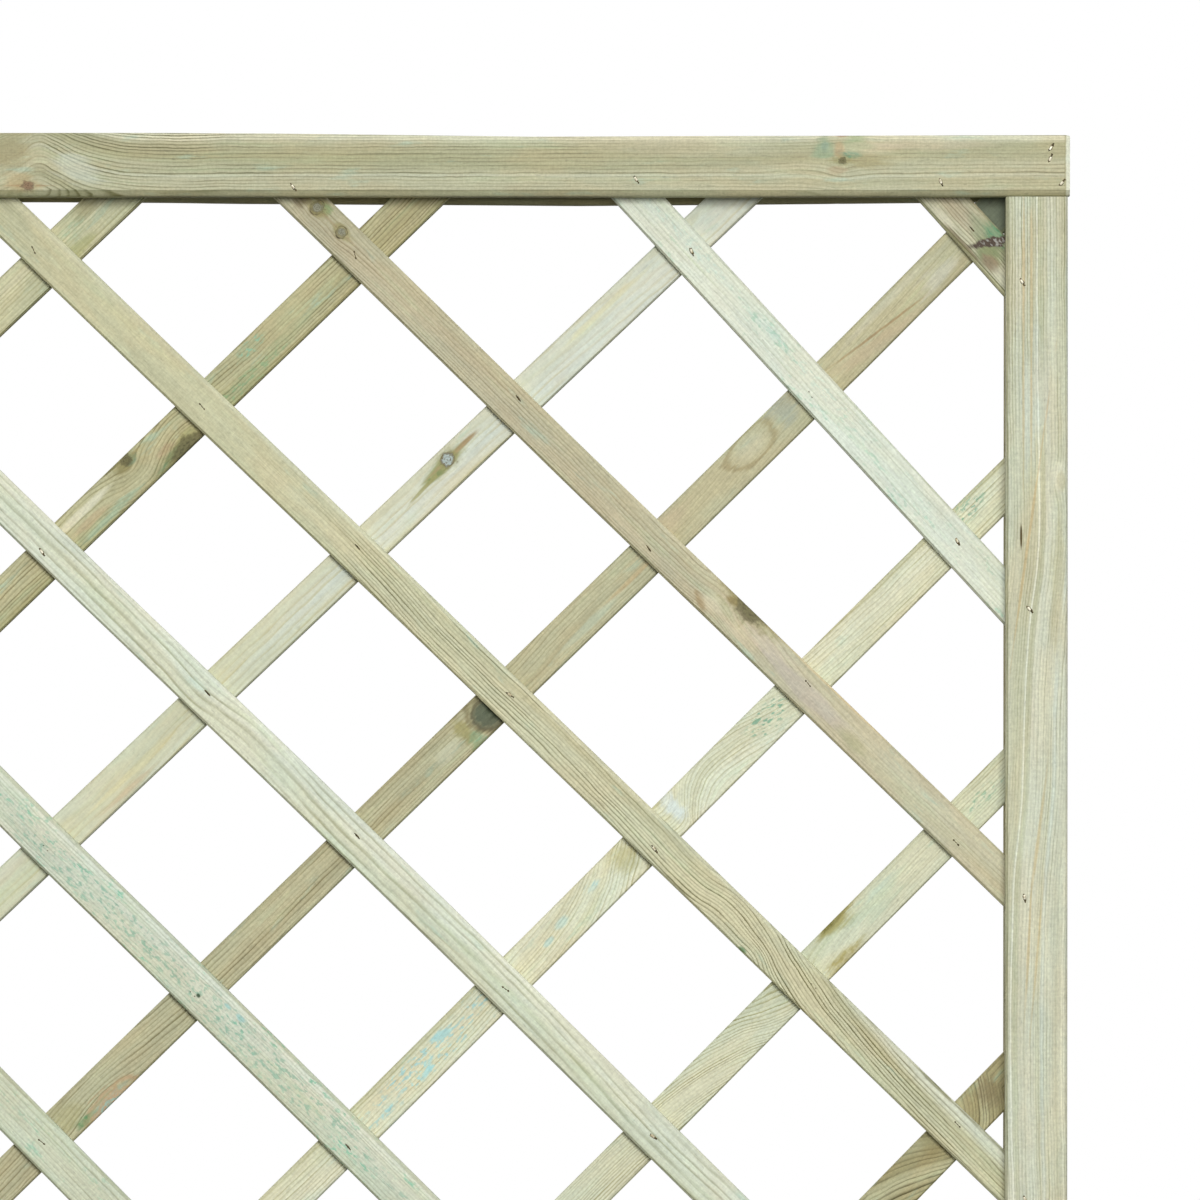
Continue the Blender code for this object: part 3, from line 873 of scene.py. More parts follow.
def knot_group():
    """Parts the grain round a knot, and gives the masks of its parts."""
    tree, given = new_group("knot", "Place Grain Middle Radius Swirl Stretch")
    radius = given["Radius"]
    along, across, _ = (given["Place"] - given["Middle"]).parts()
    distance = tree.join(along / given["Stretch"], across).length()
    swirl_squared = given["Swirl"] ** 2.0
    push = across * (swirl_squared / distance.scaled(distance, plus=swirl_squared)) * -KNOT_PUSH

    sized = given["Place"] * (1.0 / radius)
    ragged = tree.noise(sized * KNOT_ROUGH, 3.0, 0.6).scaled(*KNOT_RAGGED)
    share = distance / radius * ragged
    ripple = tree.math("SINE", share * KNOT_RIPPLES)
    lengths, widths = along / (radius * HALO_STRETCH), across / radius
    reach = tree.join(lengths, widths).length() * ragged
    far = abs(lengths)
    narrow = abs(widths).scaled(TIP_NARROWNESS, plus=far * TIP_SPREAD)
    return finish_group(
        tree,
        Grain=given["Grain"] + tree.join(0.0, push),
        Core=share.fall("core"),
        Rings=ripple.scaled(RIPPLE_SHARE, plus=tree.noise(sized * KNOT_GREY, 3.0, 0.65)),
        Rim=share.step("rim_inside") * share.fall("rim_outside"),
        Halo=reach.fall("halo"),
        Tips=narrow.fall("tip_side") * far.step("tip_start"),
    )


def mark_group():
    """The mask of a soft-edged patch, which may be turned, in flecks or hollow."""
    tree, given = new_group("mark", "Place Middle Turn Length Width Ragged Noise Flecks Fleck Hollow")
    offset = {"Vector": given["Place"] - given["Middle"], "Angle": given["Turn"]}
    along, across, _ = tree.add("ShaderNodeVectorRotate", offset, rotation_type="Z_AXIS").parts()
    uneven = (given["Noise"] - 0.5) * given["Ragged"]
    shares = tree.join(along / given["Length"], across / given["Width"])
    reach = uneven.scaled(MARK_RAGGEDNESS, plus=shares.length())
    full = reach.fall("patch")
    hoop = reach.step("hoop_inside") * reach.fall("hoop_outside")
    filled = given["Hollow"].scaled(hoop - full, plus=full)
    return finish_group(tree, Mask=filled * (1.0 - given["Fleck"] * (1.0 - given["Flecks"])))


def rise_group():
    """The height of a hump in the grain."""
    tree, given = new_group("rise", "Place Middle Length Width Height")
    along, across, _ = (given["Place"] - given["Middle"]).parts()
    steepness = tree.join(along / given["Length"], across / given["Width"]).length() ** 2.0
    return finish_group(tree, Height=tree.math("EXPONENT", steepness * -1.0) * given["Height"])


KNOT_GROUP = knot_group()
MARK_GROUP = mark_group()
RISE_GROUP = rise_group()


class TimberLook:
    """Treated softwood for one board, read from its own lengthwise, crosswise and depth lengths."""

    def __init__(self, name, timber, board, seed):
        self.material, self.tree = new_material(name)
        self.timber, self.board, self.seed = timber, board, seed
        self.place = self.tree.add("ShaderNodeAttribute", output="Vector", attribute_name="grain")
        self.seeded = self.place + self.shift(SEED_SHIFT)
        self.knots = []
        grain = self.parted(self.lifted(self.swung()))
        out = self.ring_depth(grain)
        late = self.late_wood(grain, out)
        tone = self.edged(self.marked(self.plain(grain, out, late), grain))
        self.finish(self.knotted(tone), late)

    def shift(self, shares):
        return tuple(self.seed * share for share in shares)

    def group(self, group, feature, **inputs):
        middle = self.board.place_of(feature.place)
        return self.tree.group(group, Place=self.place, Middle=middle, **inputs)

    def profile(self, table, span):
        """A value that changes along the board, from a table of photo pixels and values."""
        spots = [(self.board.place_of((at, 0))[0], value) for at, value in table]
        first, last = spots[0][0], spots[-1][0]
        share = self.tree.add("ShaderNodeMapRange", {0: self.place.parts()[0], 1: first, 2: last})
        curve = self.tree.node("ShaderNodeFloatCurve", {1: share})
        points = curve.mapping.curves[0].points
        for _ in spots[2:]:
            points.new(0.5, 0.5)
        for point, (at, value) in zip(points, spots):
            point.location = ((at - first) / (last - first), 0.5 + value / span)
        curve.mapping.update()
        return (Signal(self.tree, curve.outputs[0]) - 0.5) * span

    def swung(self):
        """The board's place, with the grain's long swings and its short shivers taken off."""
        reach, swing = 1 / (self.timber.reach * MM), self.timber.wave * SWING_SCALE
        swings = self.tree.noise(self.seeded * (reach, SWING_ACROSS, SWING_ACROSS), output="Color")
        shivers = self.tree.pattern("shiver", self.seeded, output="Color")
        swings = (swings - (0.5, 0.5, 0.5)) * (0.0, swing, swing)
        shivers = (shivers - (0.5, 0.5, 0.5)) * (0.0, SHIVER, SHIVER)
        return self.place + swings + shivers

    def lifted(self, grain):
        """The grain moved back across by as much as it has wandered here."""
        if not self.timber.lifts:
            return grain
        return grain - self.tree.join(0.0, self.profile(self.timber.lifts, LIFT_SPAN) * MM)

    def parted(self, grain):
        """The grain pushed aside by the board's knots, whose masks are kept."""
        for knot in self.timber.having(Knot):
            parts = self.group(
                KNOT_GROUP, knot, Grain=grain, Stretch=knot.stretch,
                Radius=knot.radius * MM, Swirl=knot.swirl * MM,
            )
            grain = parts["Grain"]
            if knot.kind != "none":
                self.knots.append((KNOT_TONES[knot.kind], parts))
        return grain

    def ring_depth(self, grain):
        """How far out from the tree's heart a point lies, in metres."""
        _, across, depth = grain.parts()
        heart_across, heart_depth = self.timber.heart
        out = self.tree.join(0.0, across - heart_across * MM, depth + heart_depth * MM).length()
        for rise in self.timber.having(Rise):
            hump = self.group(
                RISE_GROUP, rise,
                Length=rise.length * MM, Width=rise.width * MM, Height=rise.height * MM,
            )
            out = out + hump["Height"]
        return out

    def late_wood(self, grain, out):
        """How much of a ring's dark, late wood lies here. Some rings have more of it by chance."""
        tree, timber = self.tree, self.timber
        uneven = tree.noise(tree.join(out * RING_NOISE, self.seed * RING_SHIFT), 1.0)
        turns = out.scaled(1 / (timber.pitch * MM), plus=uneven * RING_SWAY)
        turn = tree.math("FRACT", turns)
        number = tree.math("FLOOR", turns) + self.seed * LUCK_SHIFT
        luck = tree.add("ShaderNodeTexWhiteNoise", {"W": number}, "Value", noise_dimensions="1D")
        late = turn.step("ring_dark") ** 2.0 * turn.fall("ring_end") * luck.scaled(*RING_LUCK)
        late = late * tree.pattern("patches", grain).step("patches", *PATCH_STRENGTHS)
        return late * self.profile(timber.clear, CLEAR_SPAN) if timber.clear else late

    def plain(self, grain, out, late):
        """The wood's colour between its rings, with its bands, and the rings' own."""
        tree, timber = self.tree, self.timber
        along, across, _ = grain.parts()
        layers = tree.noise(tree.join(along * DRIFT_ALONG, out * DRIFT_OUT, self.seed * DRIFT_SHIFT))
        tone = tree.mix(layers.step("drift"), linear(timber.pale), linear(timber.drift))
        for band in timber.having(Band):
            soft = tuple(band.width * MM * share for share in BAND_SOFTNESS)
            share = abs(across - band.across * MM).step(soft, band.strength, 0.0)
            tone = tree.mix(share, tone, linear(band.tone))
        return tree.mix(late * timber.line, tone, linear(timber.dark))

    def marked(self, tone, grain):
        """The colour with its stains, specks and marks."""
        tree, timber = self.tree, self.timber
        marks = timber.having(Mark)
        self.streak = tree.pattern("streak", grain + self.shift(STREAK_SHIFT))
        self.blotch = tree.pattern("blotch", self.seeded)
        self.damp = tree.pattern("damp", self.seeded + DAMP_SHIFT)
        stained = self.streak.scaled(STAIN_SHARE, plus=self.blotch * STAIN_SHARE)
        tone = tree.mix(stained.step("stain", 0.0, timber.stain), tone, linear(LEAF))
        tone = tree.mix(self.damp.step("damp", 0.0, timber.stain), tone, linear(TURQUOISE))
        flecks = 0.0
        if timber.specks or any(mark.fleck for mark in marks):
            flecks = tree.pattern("dots", grain).step("dots")
        if timber.specks:
            specks = flecks * self.damp.step("specks") * timber.specks
            tone = tree.mix(specks, tone, linear(SPECK))
        for mark in marks:
            parts = self.group(
                MARK_GROUP, mark, Turn=radians(-mark.turn),
                Length=mark.length * MM, Width=mark.width * MM, Ragged=mark.ragged,
                Noise=self.streak.scaled(0.5, plus=self.damp * 0.5),
                Flecks=flecks, Fleck=float(mark.fleck), Hollow=float(mark.hollow),
            )
            tone = tree.mix(parts["Mask"] * mark.strength, tone, linear(mark.tone))
        return tone

    def edged(self, tone):
        """The colour, darker on its eased edges, partly as soil and partly as painted shade, with a line
        of painted shade along their creases, and its tints.
        """
        tree = self.tree
        _, off, _ = self.place.parts()
        for side, share, ease in zip((-1, 1), self.timber.edges, corner_eases(self.board)):
            crease = self.board.face / 2 - ease
            reach = off * side
            # Painted shade, partly soil: each eased edge takes the olive tone, the more so on the edge
            # that faces from the light
            soil_and_shade = reach.step((crease + SOIL_AND_SHADE_START, crease + SOIL_AND_SHADE_END), 0.0, share * EDGE_SHARE)
            tone = tree.mix(soil_and_shade, tone, linear(EDGE_SOIL_AND_SHADE))
            # Painted shade: a dark line along each crease
            line = reach.step((crease - CREASE_WIDTH, crease))
            line = line * reach.fall((crease, crease + CREASE_WIDTH))
            line = line * self.damp.step("crease", share * CREASE_LEAST, share)
            tone = tree.mix(line, tone, linear(CREASE_SHADE))
        hue = tree.pattern("hue", self.seeded).step("hue")
        tone = tone * tree.mix(hue, WARM_TINT, COOL_TINT)
        return tone * (self.streak.scaled(*BROAD_SHADE) * self.blotch.scaled(*BROAD_SHADE))

    def knotted(self, tone):
        for (core, rim, halo, tips), masks in self.knots:
            core = self.tree.mix(masks["Rings"].step("rings"), linear(core), linear(rim))
            tones = {"Halo": linear(halo), "Tips": linear(tips), "Rim": linear(rim), "Core": core}
            for part, share in KNOT_SHARES.items():
                tone = self.tree.mix(masks[part] * share, tone, tones[part])
        return tone

    def finish(self, tone, late):
        """The finest marks, the relief and the sheen."""
        tree, fine = self.tree, self.timber.fine
        fibre = tree.pattern("fibre", self.seeded)
        for name, share in FINE_SHARES.items():
            found = fibre if name == "fibre" else tree.pattern(name, self.seeded)
            tone = tone * found.scaled(share * fine, plus=1 - share / 2 * fine)
        tone = tone * tree.pattern("pores", self.seeded).step("pores", 1.0, 1 - PORE_SHARE * fine)
        sunk = 0.0
        for _, masks in self.knots:
            sunk = tree.math("MAXIMUM", sunk, masks["Core"])
        height = late.scaled(LATE_RELIEF, plus=fibre * FIBRE_RELIEF) - sunk * KNOT_RELIEF
        inputs = {
            "Base Color": tone,
            "Roughness": fibre.scaled(*ROUGHNESS) - late * LATE_GLOSS,
            "Specular IOR Level": SPECULAR,
            "Normal": tree.add("ShaderNodeBump", {"Height": height, **RELIEF}),
        }
        tree.surface(tree.add("ShaderNodeBsdfPrincipled", inputs))


def add_object(name, data):
    thing = bpy.data.objects.new(name, data)
    bpy.context.scene.collection.objects.link(thing)
    return thing


def mesh_of(shape, name):
    mesh = bpy.data.meshes.new(name)
    shape.to_mesh(mesh)
    shape.free()
    return mesh


def show_piece(name, mesh, slot, *nodes):
    piece = add_object(name, mesh)
    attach(piece, "root")
    if nodes:
        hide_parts(*nodes)


def panel_point(pixel):
    """The point of the front slats' plane that this pixel shows."""
    right, down = ((at - corner) * PHOTO_SCALE for at, corner in zip(pixel, CORNER_PIXEL))
    return Vector((PANEL_HIGH.x + right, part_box(FRONT_SLATS[0])[0].y, PANEL_HIGH.z - down))


def add_camera():
    camera = add_object("camera", bpy.data.cameras.new("camera"))
    camera.location = panel_point(FOOT_PIXEL) - Vector((0, CAMERA_DISTANCE, 0))
    way = panel_point((PHOTO_SIDE / 2, PHOTO_SIDE / 2)) - camera.location
    turn = way.to_track_quat("-Z", "Y") @ Quaternion((0, 0, 1), CAMERA_ROLL)
    camera.rotation_euler = turn.to_euler()
    camera.data.sensor_width = SENSOR
    camera.data.lens = SENSOR * way.length / (PHOTO_SIDE * PHOTO_SCALE)
    bpy.context.scene.camera = camera
    return camera.location.copy(), turn, camera.data.lens


EYE, EYE_TURN, LENS = add_camera()


def seen_point(pixel, y):
    """Where the photograph's pixel lies on the upright plane at this depth."""
    side = SENSOR / LENS / PHOTO_SIDE
    right, up = (pixel[0] - PHOTO_SIDE / 2) * side, (PHOTO_SIDE / 2 - pixel[1]) * side
    way = EYE_TURN @ Vector((right, up, -1))
    return EYE + way * ((y - EYE.y) / way.y)


def photo_pixel(point):
    """The pixel of the photograph that shows this point."""
    seen = EYE_TURN.inverted() @ (point - EYE)
    share = LENS / SENSOR * PHOTO_SIDE / -seen.z
    return PHOTO_SIDE / 2 + seen.x * share, PHOTO_SIDE / 2 - seen.y * share


class Board:
    """Where a board of the frame lies, and the lengths along it, across it and into it."""

    def __init__(self, name, seed):
        self.name = name
        self.seed = seed
        self.seen = name in SEEN
        self.is_slat = "slat" in name
        self.layer, *_, self.kind = name.split("_")
        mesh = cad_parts[name].data
        points = np.array([(vertex.co.x, vertex.co.z) for vertex in mesh.vertices])
        ends = np.array([edge.vertices[:] for edge in mesh.edges])
        run = self.direction(points, points[ends[:, 1]] - points[ends[:, 0]])
        self.run = Vector((run[0], 0, run[1]))
        self.across = Vector((-run[1], 0, run[0]))
        low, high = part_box(name)
        self.front_y, self.depth = low.y, high.y - low.y
        along = points @ run
        side = points @ np.array([-run[1], run[0]])
        self.length = np.ptp(along)
        self.face = np.ptp(side)
        self.start = self.run * along.min() + self.across * ((side.max() + side.min()) / 2)
        self.start.y = self.front_y

    def direction(self, points, ways):
        """The long edge between whose parallels the board is narrowest, pointing right or up."""
        lengths = np.linalg.norm(ways, axis=1)
        ways = ways[lengths > lengths.max() / 2]
        ways /= np.linalg.norm(ways, axis=1)[:, None]
        spans = np.ptp(points @ np.stack([-ways[:, 1], ways[:, 0]]), axis=0)
        run = ways[spans.argmin()]
        leading = 0 if self.is_slat else abs(run).argmax()
        return -run if run[leading] < 0 else run

    def point(self, along, across, depth):
        return self.start + self.run * along + self.across * across + Vector((0, depth, 0))

    def lengths_of(self, point):
        offset = point - self.start
        return Vector((offset.dot(self.run), offset.dot(self.across), offset.y))

    def along_of(self, pixel):
        """How far along the board this pixel of the photograph lies, counted along or down it."""
        axis = 1 if self.kind == "stile" else 0
        first, last = (photo_pixel(self.point(along, 0, 0))[axis] for along in (0, self.length))
        return (pixel - first) / (last - first) * self.length

    def place_of(self, place):
        """A feature's middle, along and across the board."""
        at, across = place
        return (self.along_of(at) if self.seen else at, across * MM, 0)

    def is_end(self, face):
        return abs(face.normal.dot(self.run)) >= SIDE_LIMIT


def wobble(seed, along, wavelength):
    """A smooth number from 0 to 1 that wanders along a board."""
    shifts = (seed * shift for shift in WOBBLE_SHIFT)
    return (noise.noise(Vector((along / wavelength, *shifts))) + 1) / 2


def wander(board, side, along):
    """How far one of the board's four sides lies in, here: its edges, its front and its back."""
    return WANDER * wobble(board.seed + side, along, WANDER_LENGTH)


def read_off(board, table, along):
    """The length that a table of photo pixels and millimetres gives at this place along a board."""
    places = sorted((board.along_of(pixel), length * MM) for pixel, length in table)
    return float(np.interp(along, *zip(*places)))


def shortfall(board, along):
    """How far the lower and the upper edge lie in from straight, here."""
    if board.name not in SHORT_EDGES:
        return 0, 0
    edge, table = SHORT_EDGES[board.name]
    short = read_off(board, table, along)
    return (short, 0) if edge == "lower" else (0, short)


def bow(board, along):
    """How far the board's middle lies off its straight line, here."""
    return read_off(board, BOWS[board.name], along) if board.name in BOWS else 0


def corner_eases(board):
    """The ease of the corners at the lower and at the upper edge."""
    if board.is_slat:
        return (SLAT_EASE[board.layer],) * 2
    inner = INNER_EASE[board.kind]
    inwards = (CENTRE - board.point(board.length / 2, 0, 0)).dot(board.across)
    return (OUTER_EASE, inner) if inwards > 0 else (inner, OUTER_EASE)


def eased_corner(radius):
    """The points of a corner, from one side to the other, between a round and a flat chamfer."""
    points = [(radius + SUPPORT, 0)]
    for step in range(CORNER_STEPS + 1):
        share = step / CORNER_STEPS
        turned = pi / 2 * share
        round_point = (radius * (1 - sin(turned)), radius * (1 - cos(turned)))
        flat_point = (radius * (1 - share), radius * share)
        points.append(tuple(r + (f - r) * FLATNESS for r, f in zip(round_point, flat_point)))
    return points + [(0, radius + SUPPORT)]


def section(board, along, chips):
    """The board's outline across and in depth at this place, from its lower front corner round."""
    half, off = board.face / 2, bow(board, along)
    inset = [wander(board, side, along) for side in range(4)]
    short_lower, short_upper = shortfall(board, along)
    lower, upper = off - half + inset[0] + short_lower, off + half - inset[1] - short_upper
    front, back = FACE_INSET + inset[2], board.depth - inset[3]
    lower_ease, upper_ease = corner_eases(board)
    corners = (
        (lower, front, 1, 1, lower_ease), (lower, back, 1, -1, lower_ease),
        (upper, back, -1, -1, upper_ease), (upper, front, -1, 1, upper_ease),
    )
    outline = []
    for number, (across, into, side_way, depth_way, ease) in zip(CORNERS, corners):
        spread = 2 * wobble(board.seed + 10 + number, along, EASE_LENGTH) - 1
        radius = ease * (1 + EASE_SPREAD_SHARE * spread)
        radius += sum(chip_depth(along - at) for at, corner in chips if corner == number)
        points = eased_corner(radius)
        if number % 2:
            points.reverse()
        outline += [(across + side_way * a, into + depth_way * b) for a, b in points]
    return outline


def chip_depth(off):
    return CHIP_DEPTH * max(0, 1 - abs(off) / CHIP_LENGTH)


def drawn_chips(board, rng):
    """Where chips are out of the board's corners."""
    count = round(board.length * CHIPS_PER_METRE)
    chips = [(rng.uniform(0.03, 0.97) * board.length, rng.choice(CORNERS)) for _ in range(count)]
    if board.name == "front_top_rail":
        chips += [(board.along_of(pixel), CORNERS[-1]) for pixel in RAIL_NICKS]
    return chips


def board_sections(board, chips):
    """Where along the board its sections lie, before its ends."""
    over = BLANK_OVERRUN if board.is_slat else 0
    count = ceil((board.length + 2 * over) / SECTION_STEP)
    places = [-over + (board.length + 2 * over) * number / count for number in range(count + 1)]
    for at, _ in chips:
        places += [at + CHIP_LENGTH * share for share in (-1, -0.5, 0, 0.5, 1)]
    places = sorted(place for place in places if -over <= place <= board.length + over)
    followers = places[1:] + [float("inf")]
    return [place for place, after in zip(places, followers) if after - place > LEAST_STEP]


def skin(shape, rings):
    """Adds a closed skin over rings of points."""
    rings = [[shape.verts.new(point) for point in ring] for ring in rings]
    count = len(rings[0])
    for ring, after in zip(rings, rings[1:]):
        for number in range(count):
            following = (number + 1) % count
            shape.faces.new((ring[number], ring[following], after[following], after[number]))
    shape.faces.new(reversed(rings[0]))
    shape.faces.new(rings[-1])


def board_shape(board, chips):
    """The board's closed mesh, its ends rounded over or still to be sawn."""
    places = board_sections(board, chips)
    end_ease = 0 if board.is_slat else END_EASE[board.kind]
    if end_ease:
        rounding = [end_ease * step / END_STEPS for step in range(END_STEPS + 1)]
        places = rounding + [place for place in places if end_ease < place < board.length - end_ease]
        places += [board.length - place for place in reversed(rounding)]
    rings = []
    for along in places:
        outline = section(board, along, chips)
        if end_ease:
            drop = max(0, end_ease - min(along, board.length - along)) * END_DROP_SHARE
            outline = [pulled_in(board, point, drop) for point in outline]
        rings.append([board.point(along, across, into) for across, into in outline])
    shape = bmesh.new()
    skin(shape, rings)
    bmesh.ops.recalc_face_normals(shape, faces=shape.faces)
    return shape


def pulled_in(board, point, drop):
    across, into = point
    half, middle = board.face / 2, board.depth / 2
    narrower = (half - drop * END_SIDE_SHARE) / half
    return across * narrower, middle + (into - middle) * (middle - drop) / middle


def outline_of_slats():
    """The planes that all slats end on: a point of each, and the way out of the panel."""
    boxes = [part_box(name) for name in FRONT_SLATS + BACK_SLATS]
    low = Vector([min(box[0][axis] for box in boxes) for axis in range(3)])
    high = Vector([max(box[1][axis] for box in boxes) for axis in range(3)])
    return (
        (low, Vector((-1, 0, 0))), (low, Vector((0, 0, -1))),
        (high, Vector((1, 0, 0))), (high, Vector((0, 0, 1))),
    )


SAW_LINES = outline_of_slats()


def saw_ends(shape):
    """Cuts a slat off along the lines that all the slats end on, and closes its ends."""
    for co, normal in SAW_LINES:
        everything = shape.verts[:] + shape.edges[:] + shape.faces[:]
        bmesh.ops.bisect_plane(
            shape, geom=everything, dist=1e-7, plane_co=co, plane_no=normal, clear_outer=True
        )
        rim = [edge for edge in shape.edges if edge.is_boundary]
        if rim:
            bmesh.ops.edgeloop_fill(shape, edges=rim)


def finish_board(board, shape):
    """The board's mesh, with its smooth edges, its grain lengths and its map."""
    for face in shape.faces:
        face.smooth = not board.is_end(face)
    for edge in shape.edges:
        if len({face.smooth for face in edge.link_faces}) > 1:
            edge.smooth = False
    lay_map(board, shape)
    mesh = mesh_of(shape, board.name)
    lengths = [board.lengths_of(vertex.co) for vertex in mesh.vertices]
    for length in lengths:
        length.y -= bow(board, length.x)
    grain = mesh.attributes.new("grain", "FLOAT_VECTOR", "POINT")
    grain.data.foreach_set("vector", np.array(lengths, np.float32).ravel())
    return mesh


def lay_map(board, shape):
    """Cuts the board's sides into rows, end over end, so that they fill the square map."""
    layer = shape.loops.layers.uv.new("OFBake")
    widths = (board.face, board.depth, board.face, board.depth)
    height = sum(widths) + 4 * MAP_GAP
    ends = board.face * (2 if board.is_slat else 1) + 2 * MAP_GAP

    def scale_with(rows):
        return min(1 / (board.length / rows + MAP_OVERLAP), 1 / (rows * height + ends))

    rows = max(range(1, MOST_ROWS + 1), key=scale_with)
    scale, row_length = scale_with(rows), board.length / rows
    for face in shape.faces:
        centre = board.lengths_of(face.calc_center_median())
        row = min(rows - 1, max(0, int(centre.x / row_length)))
        side = side_of(board, face.normal)
        left = MAP_OVERLAP / 2 - row * row_length
        bottom = row * height + sum(widths[:side]) + (side + 0.5) * MAP_GAP
        if board.is_end(face):
            left = MAP_GAP if centre.x < board.length / 2 else 3 * board.face
            bottom = rows * height + MAP_GAP
        for loop in face.loops:
            along, across, into = board.lengths_of(loop.vert.co)
            across += board.face / 2
            if board.is_end(face):
                u, v = left + across, bottom + into
            else:
                u, v = left + along, bottom + (into if side % 2 else across)
            loop[layer].uv = (u * scale, v * scale)


def side_of(board, normal):
    """Which side of the board a face is on: front, upper, back or lower, from 0 to 3."""
    sideways = normal.dot(board.across)
    if abs(normal.y) >= abs(sideways):
        return 0 if normal.y < 0 else 2
    return 1 if sideways > 0 else 3


def drawn_timber(board, rng):
    """The look of a board that the photograph doesn't show."""
    def drawn_place(margin, across):
        at = rng.uniform(margin, 1 - margin) * board.length
        return at, rng.uniform(-across, across)

    face = board.face / MM
    timber = replace(rng.choice(KINDS), features=[])
    timber.pitch *= rng.uniform(0.85, 1.3)
    timber.heart = (rng.uniform(-60, 60), rng.uniform(8, 45))
    timber.wave = rng.uniform(0.5, 1.4)
    timber.reach = rng.uniform(70, 320)
    timber.stain = rng.uniform(0.1, 0.5)
    for _ in range(rng.choice((0, 1, 1, 2, 2, 3))):
        place = drawn_place(0.08, 0.42 * face)
        kind = rng.choice(("grey", "dark", "brown", "eye"))
        radius = rng.uniform(2.2, 5.0)
        swirl = radius * rng.uniform(2.0, 4.0)
        timber.features.append(Knot(place, radius, kind, swirl, stretch=rng.uniform(1.0, 1.6)))
    steps = ceil(board.length / LIFT_STEP)
    lift, lifts = 0, []
    for number in range(steps + 1):
        lifts.append((board.length * number / steps, lift))
        lift += rng.choice((0, 0, 0, 1, -1)) * rng.uniform(3, 20)
    timber.lifts = tuple(lifts)
    if abs(timber.heart[0]) < NEAR_HEART:
        timber.pitch *= NEAR_HEART_PITCH
        for _ in range(rng.choice((0, 1, 2))):
            place = drawn_place(0.1, 8)
            sizes = rng.uniform(16, 40), rng.uniform(6, 10), rng.uniform(1.5, 4)
            timber.features.append(Rise(place, *sizes))
    if rng.random() < 0.5:
        place = drawn_place(0.1, 0.35 * face)
        tone = rng.choice((MOSS, TURQUOISE, LEAF, RUST))
        length, width = rng.uniform(8, 26), rng.uniform(2, 6)
        timber.features.append(Mark(place, length, width, tone, strength=0.45, ragged=0.9))
    return timber


def slot_of(board):
    return f"{board.layer}_slat_timber" if board.is_slat else "frame_timber"


def add_boards():
    boards = {}
    for number, name in enumerate(FRONT_BATTENS + BACK_BATTENS + FRONT_SLATS + BACK_SLATS):
        rng = random.Random(number + FIRST_SEED)
        board = boards[name] = Board(name, seed=number * SEED_STEP)
        shape = board_shape(board, drawn_chips(board, rng))
        if board.is_slat:
            saw_ends(shape)
        mesh = finish_board(board, shape)
        timber = SEEN.get(name) or drawn_timber(board, rng)
        look = TimberLook(f"{name}_timber", timber, board, number + 1)
        mesh.materials.append(look.material)
        show_piece(f"{name}_board", mesh, slot_of(board), name)
    return boards


# The dark spots round a staple, by how it was driven: its crown stands proud, lies in its slot,
# has sunk in, or hardly shows. Their dark is torn wood and painted shade for the hollows, and round
# a proud crown also painted shadow of the wire. Each has its place along the crown, its length and
# its width, in millimetres. Where it has two of one, a number between them is drawn
HOLES = {
    "wire": ((0.2, 6.72, 2.7), (3.3, 1.8, (1.4, 1.9))),
    "slot": ((0, (6.16, 7.56), (1.3, 1.8)),),
    "holes": ((-2.3, (1.6, 2.4), (1.2, 1.7)), (2.3, (1.6, 2.4), (1.2, 1.7)), (0, 5.04, 0.7)),
    "faint": ((-2.2, 1.5, 0.8), (2.2, 1.5, 0.8)),
}
CROSSING_LOOKS = ("wire", "slot", "slot", "holes", "holes", "faint")
END_LOOKS = ("wire", "slot", "holes")

# A spot's rings, each with its share of the spot's size and its depth, the points on each, and how
# unevenly far out they lie
HOLE_LEVELS = ((1.0, 0.35 * MM), (0.9, -0.02 * MM), (0.5, -0.05 * MM))
HOLE_POINTS = 14
HOLE_REACH = (0.72, 1.12)

# The staples at the crossings that the photograph shows: front and back slat, the pixel of the
# middle, how many degrees it falls to the right, and how it was driven
SEEN_CROSSINGS = {
    (1, 9): ((972, 229), 48, "slot"),
    (2, 8): ((691.5, 251), 68, "wire"),
    (2, 9): ((810.5, 394.5), 61, "faint"),
    (2, 10): ((957, 540.5), 62, "wire"),
    (3, 7): ((355, 255), 76, "holes"),
    (3, 8): ((518.5, 398.5), 51, "slot"),
    (3, 9): ((649, 549), 53, "slot"),
    (3, 10): ((808, 683.5), 50, "holes"),
    (3, 11): ((956, 842.5), 45, "holes"),
    (4, 6): ((33.5, 250), 64, "holes"),
    (4, 7): ((202, 406.5), 50, "holes"),
    (4, 8): ((357.5, 547), 47, "slot"),
    (4, 9): ((509.5, 694.5), 35, "wire"),
    (4, 10): ((654, 848.5), 51, "wire"),
    (4, 11): ((813.5, 986), 45, "faint"),
    (4, 12): ((957.5, 1124.5), 47, "holes"),
    (5, 7): ((41.5, 551.5), 56, "wire"),
    (5, 8): ((207.5, 693), 47, "slot"),
    (5, 9): ((357, 836), 48, "slot"),
    (5, 10): ((505.5, 989), 36, "holes"),
    (5, 11): ((652.5, 1136), 36, "wire"),
    (6, 8): ((45.5, 848), 53, "faint"),
    (6, 9): ((192.5, 994), 46, "faint"),
    (6, 10): ((348, 1147), 48, "slot"),
    (7, 9): ((41.5, 1142), 39, "holes"),
}

# The other staples: how many degrees they fall to the right, how far off its crossing or within
# the batten's edge one lies, and how near to the opening's edge, to a batten's end or to a solid
# staple there is none
CROSSING_LEAN = 45
CROSSING_LEAN_SPREAD = 14
CROSSING_SPREAD = 3.5 * MM
CROSSING_MARGIN = 10 * MM
END_LEANS = (30, 80)
END_STAPLE_INSET = 14 * MM
END_MARGIN = 30 * MM
SOLID_MARGIN = 40 * MM


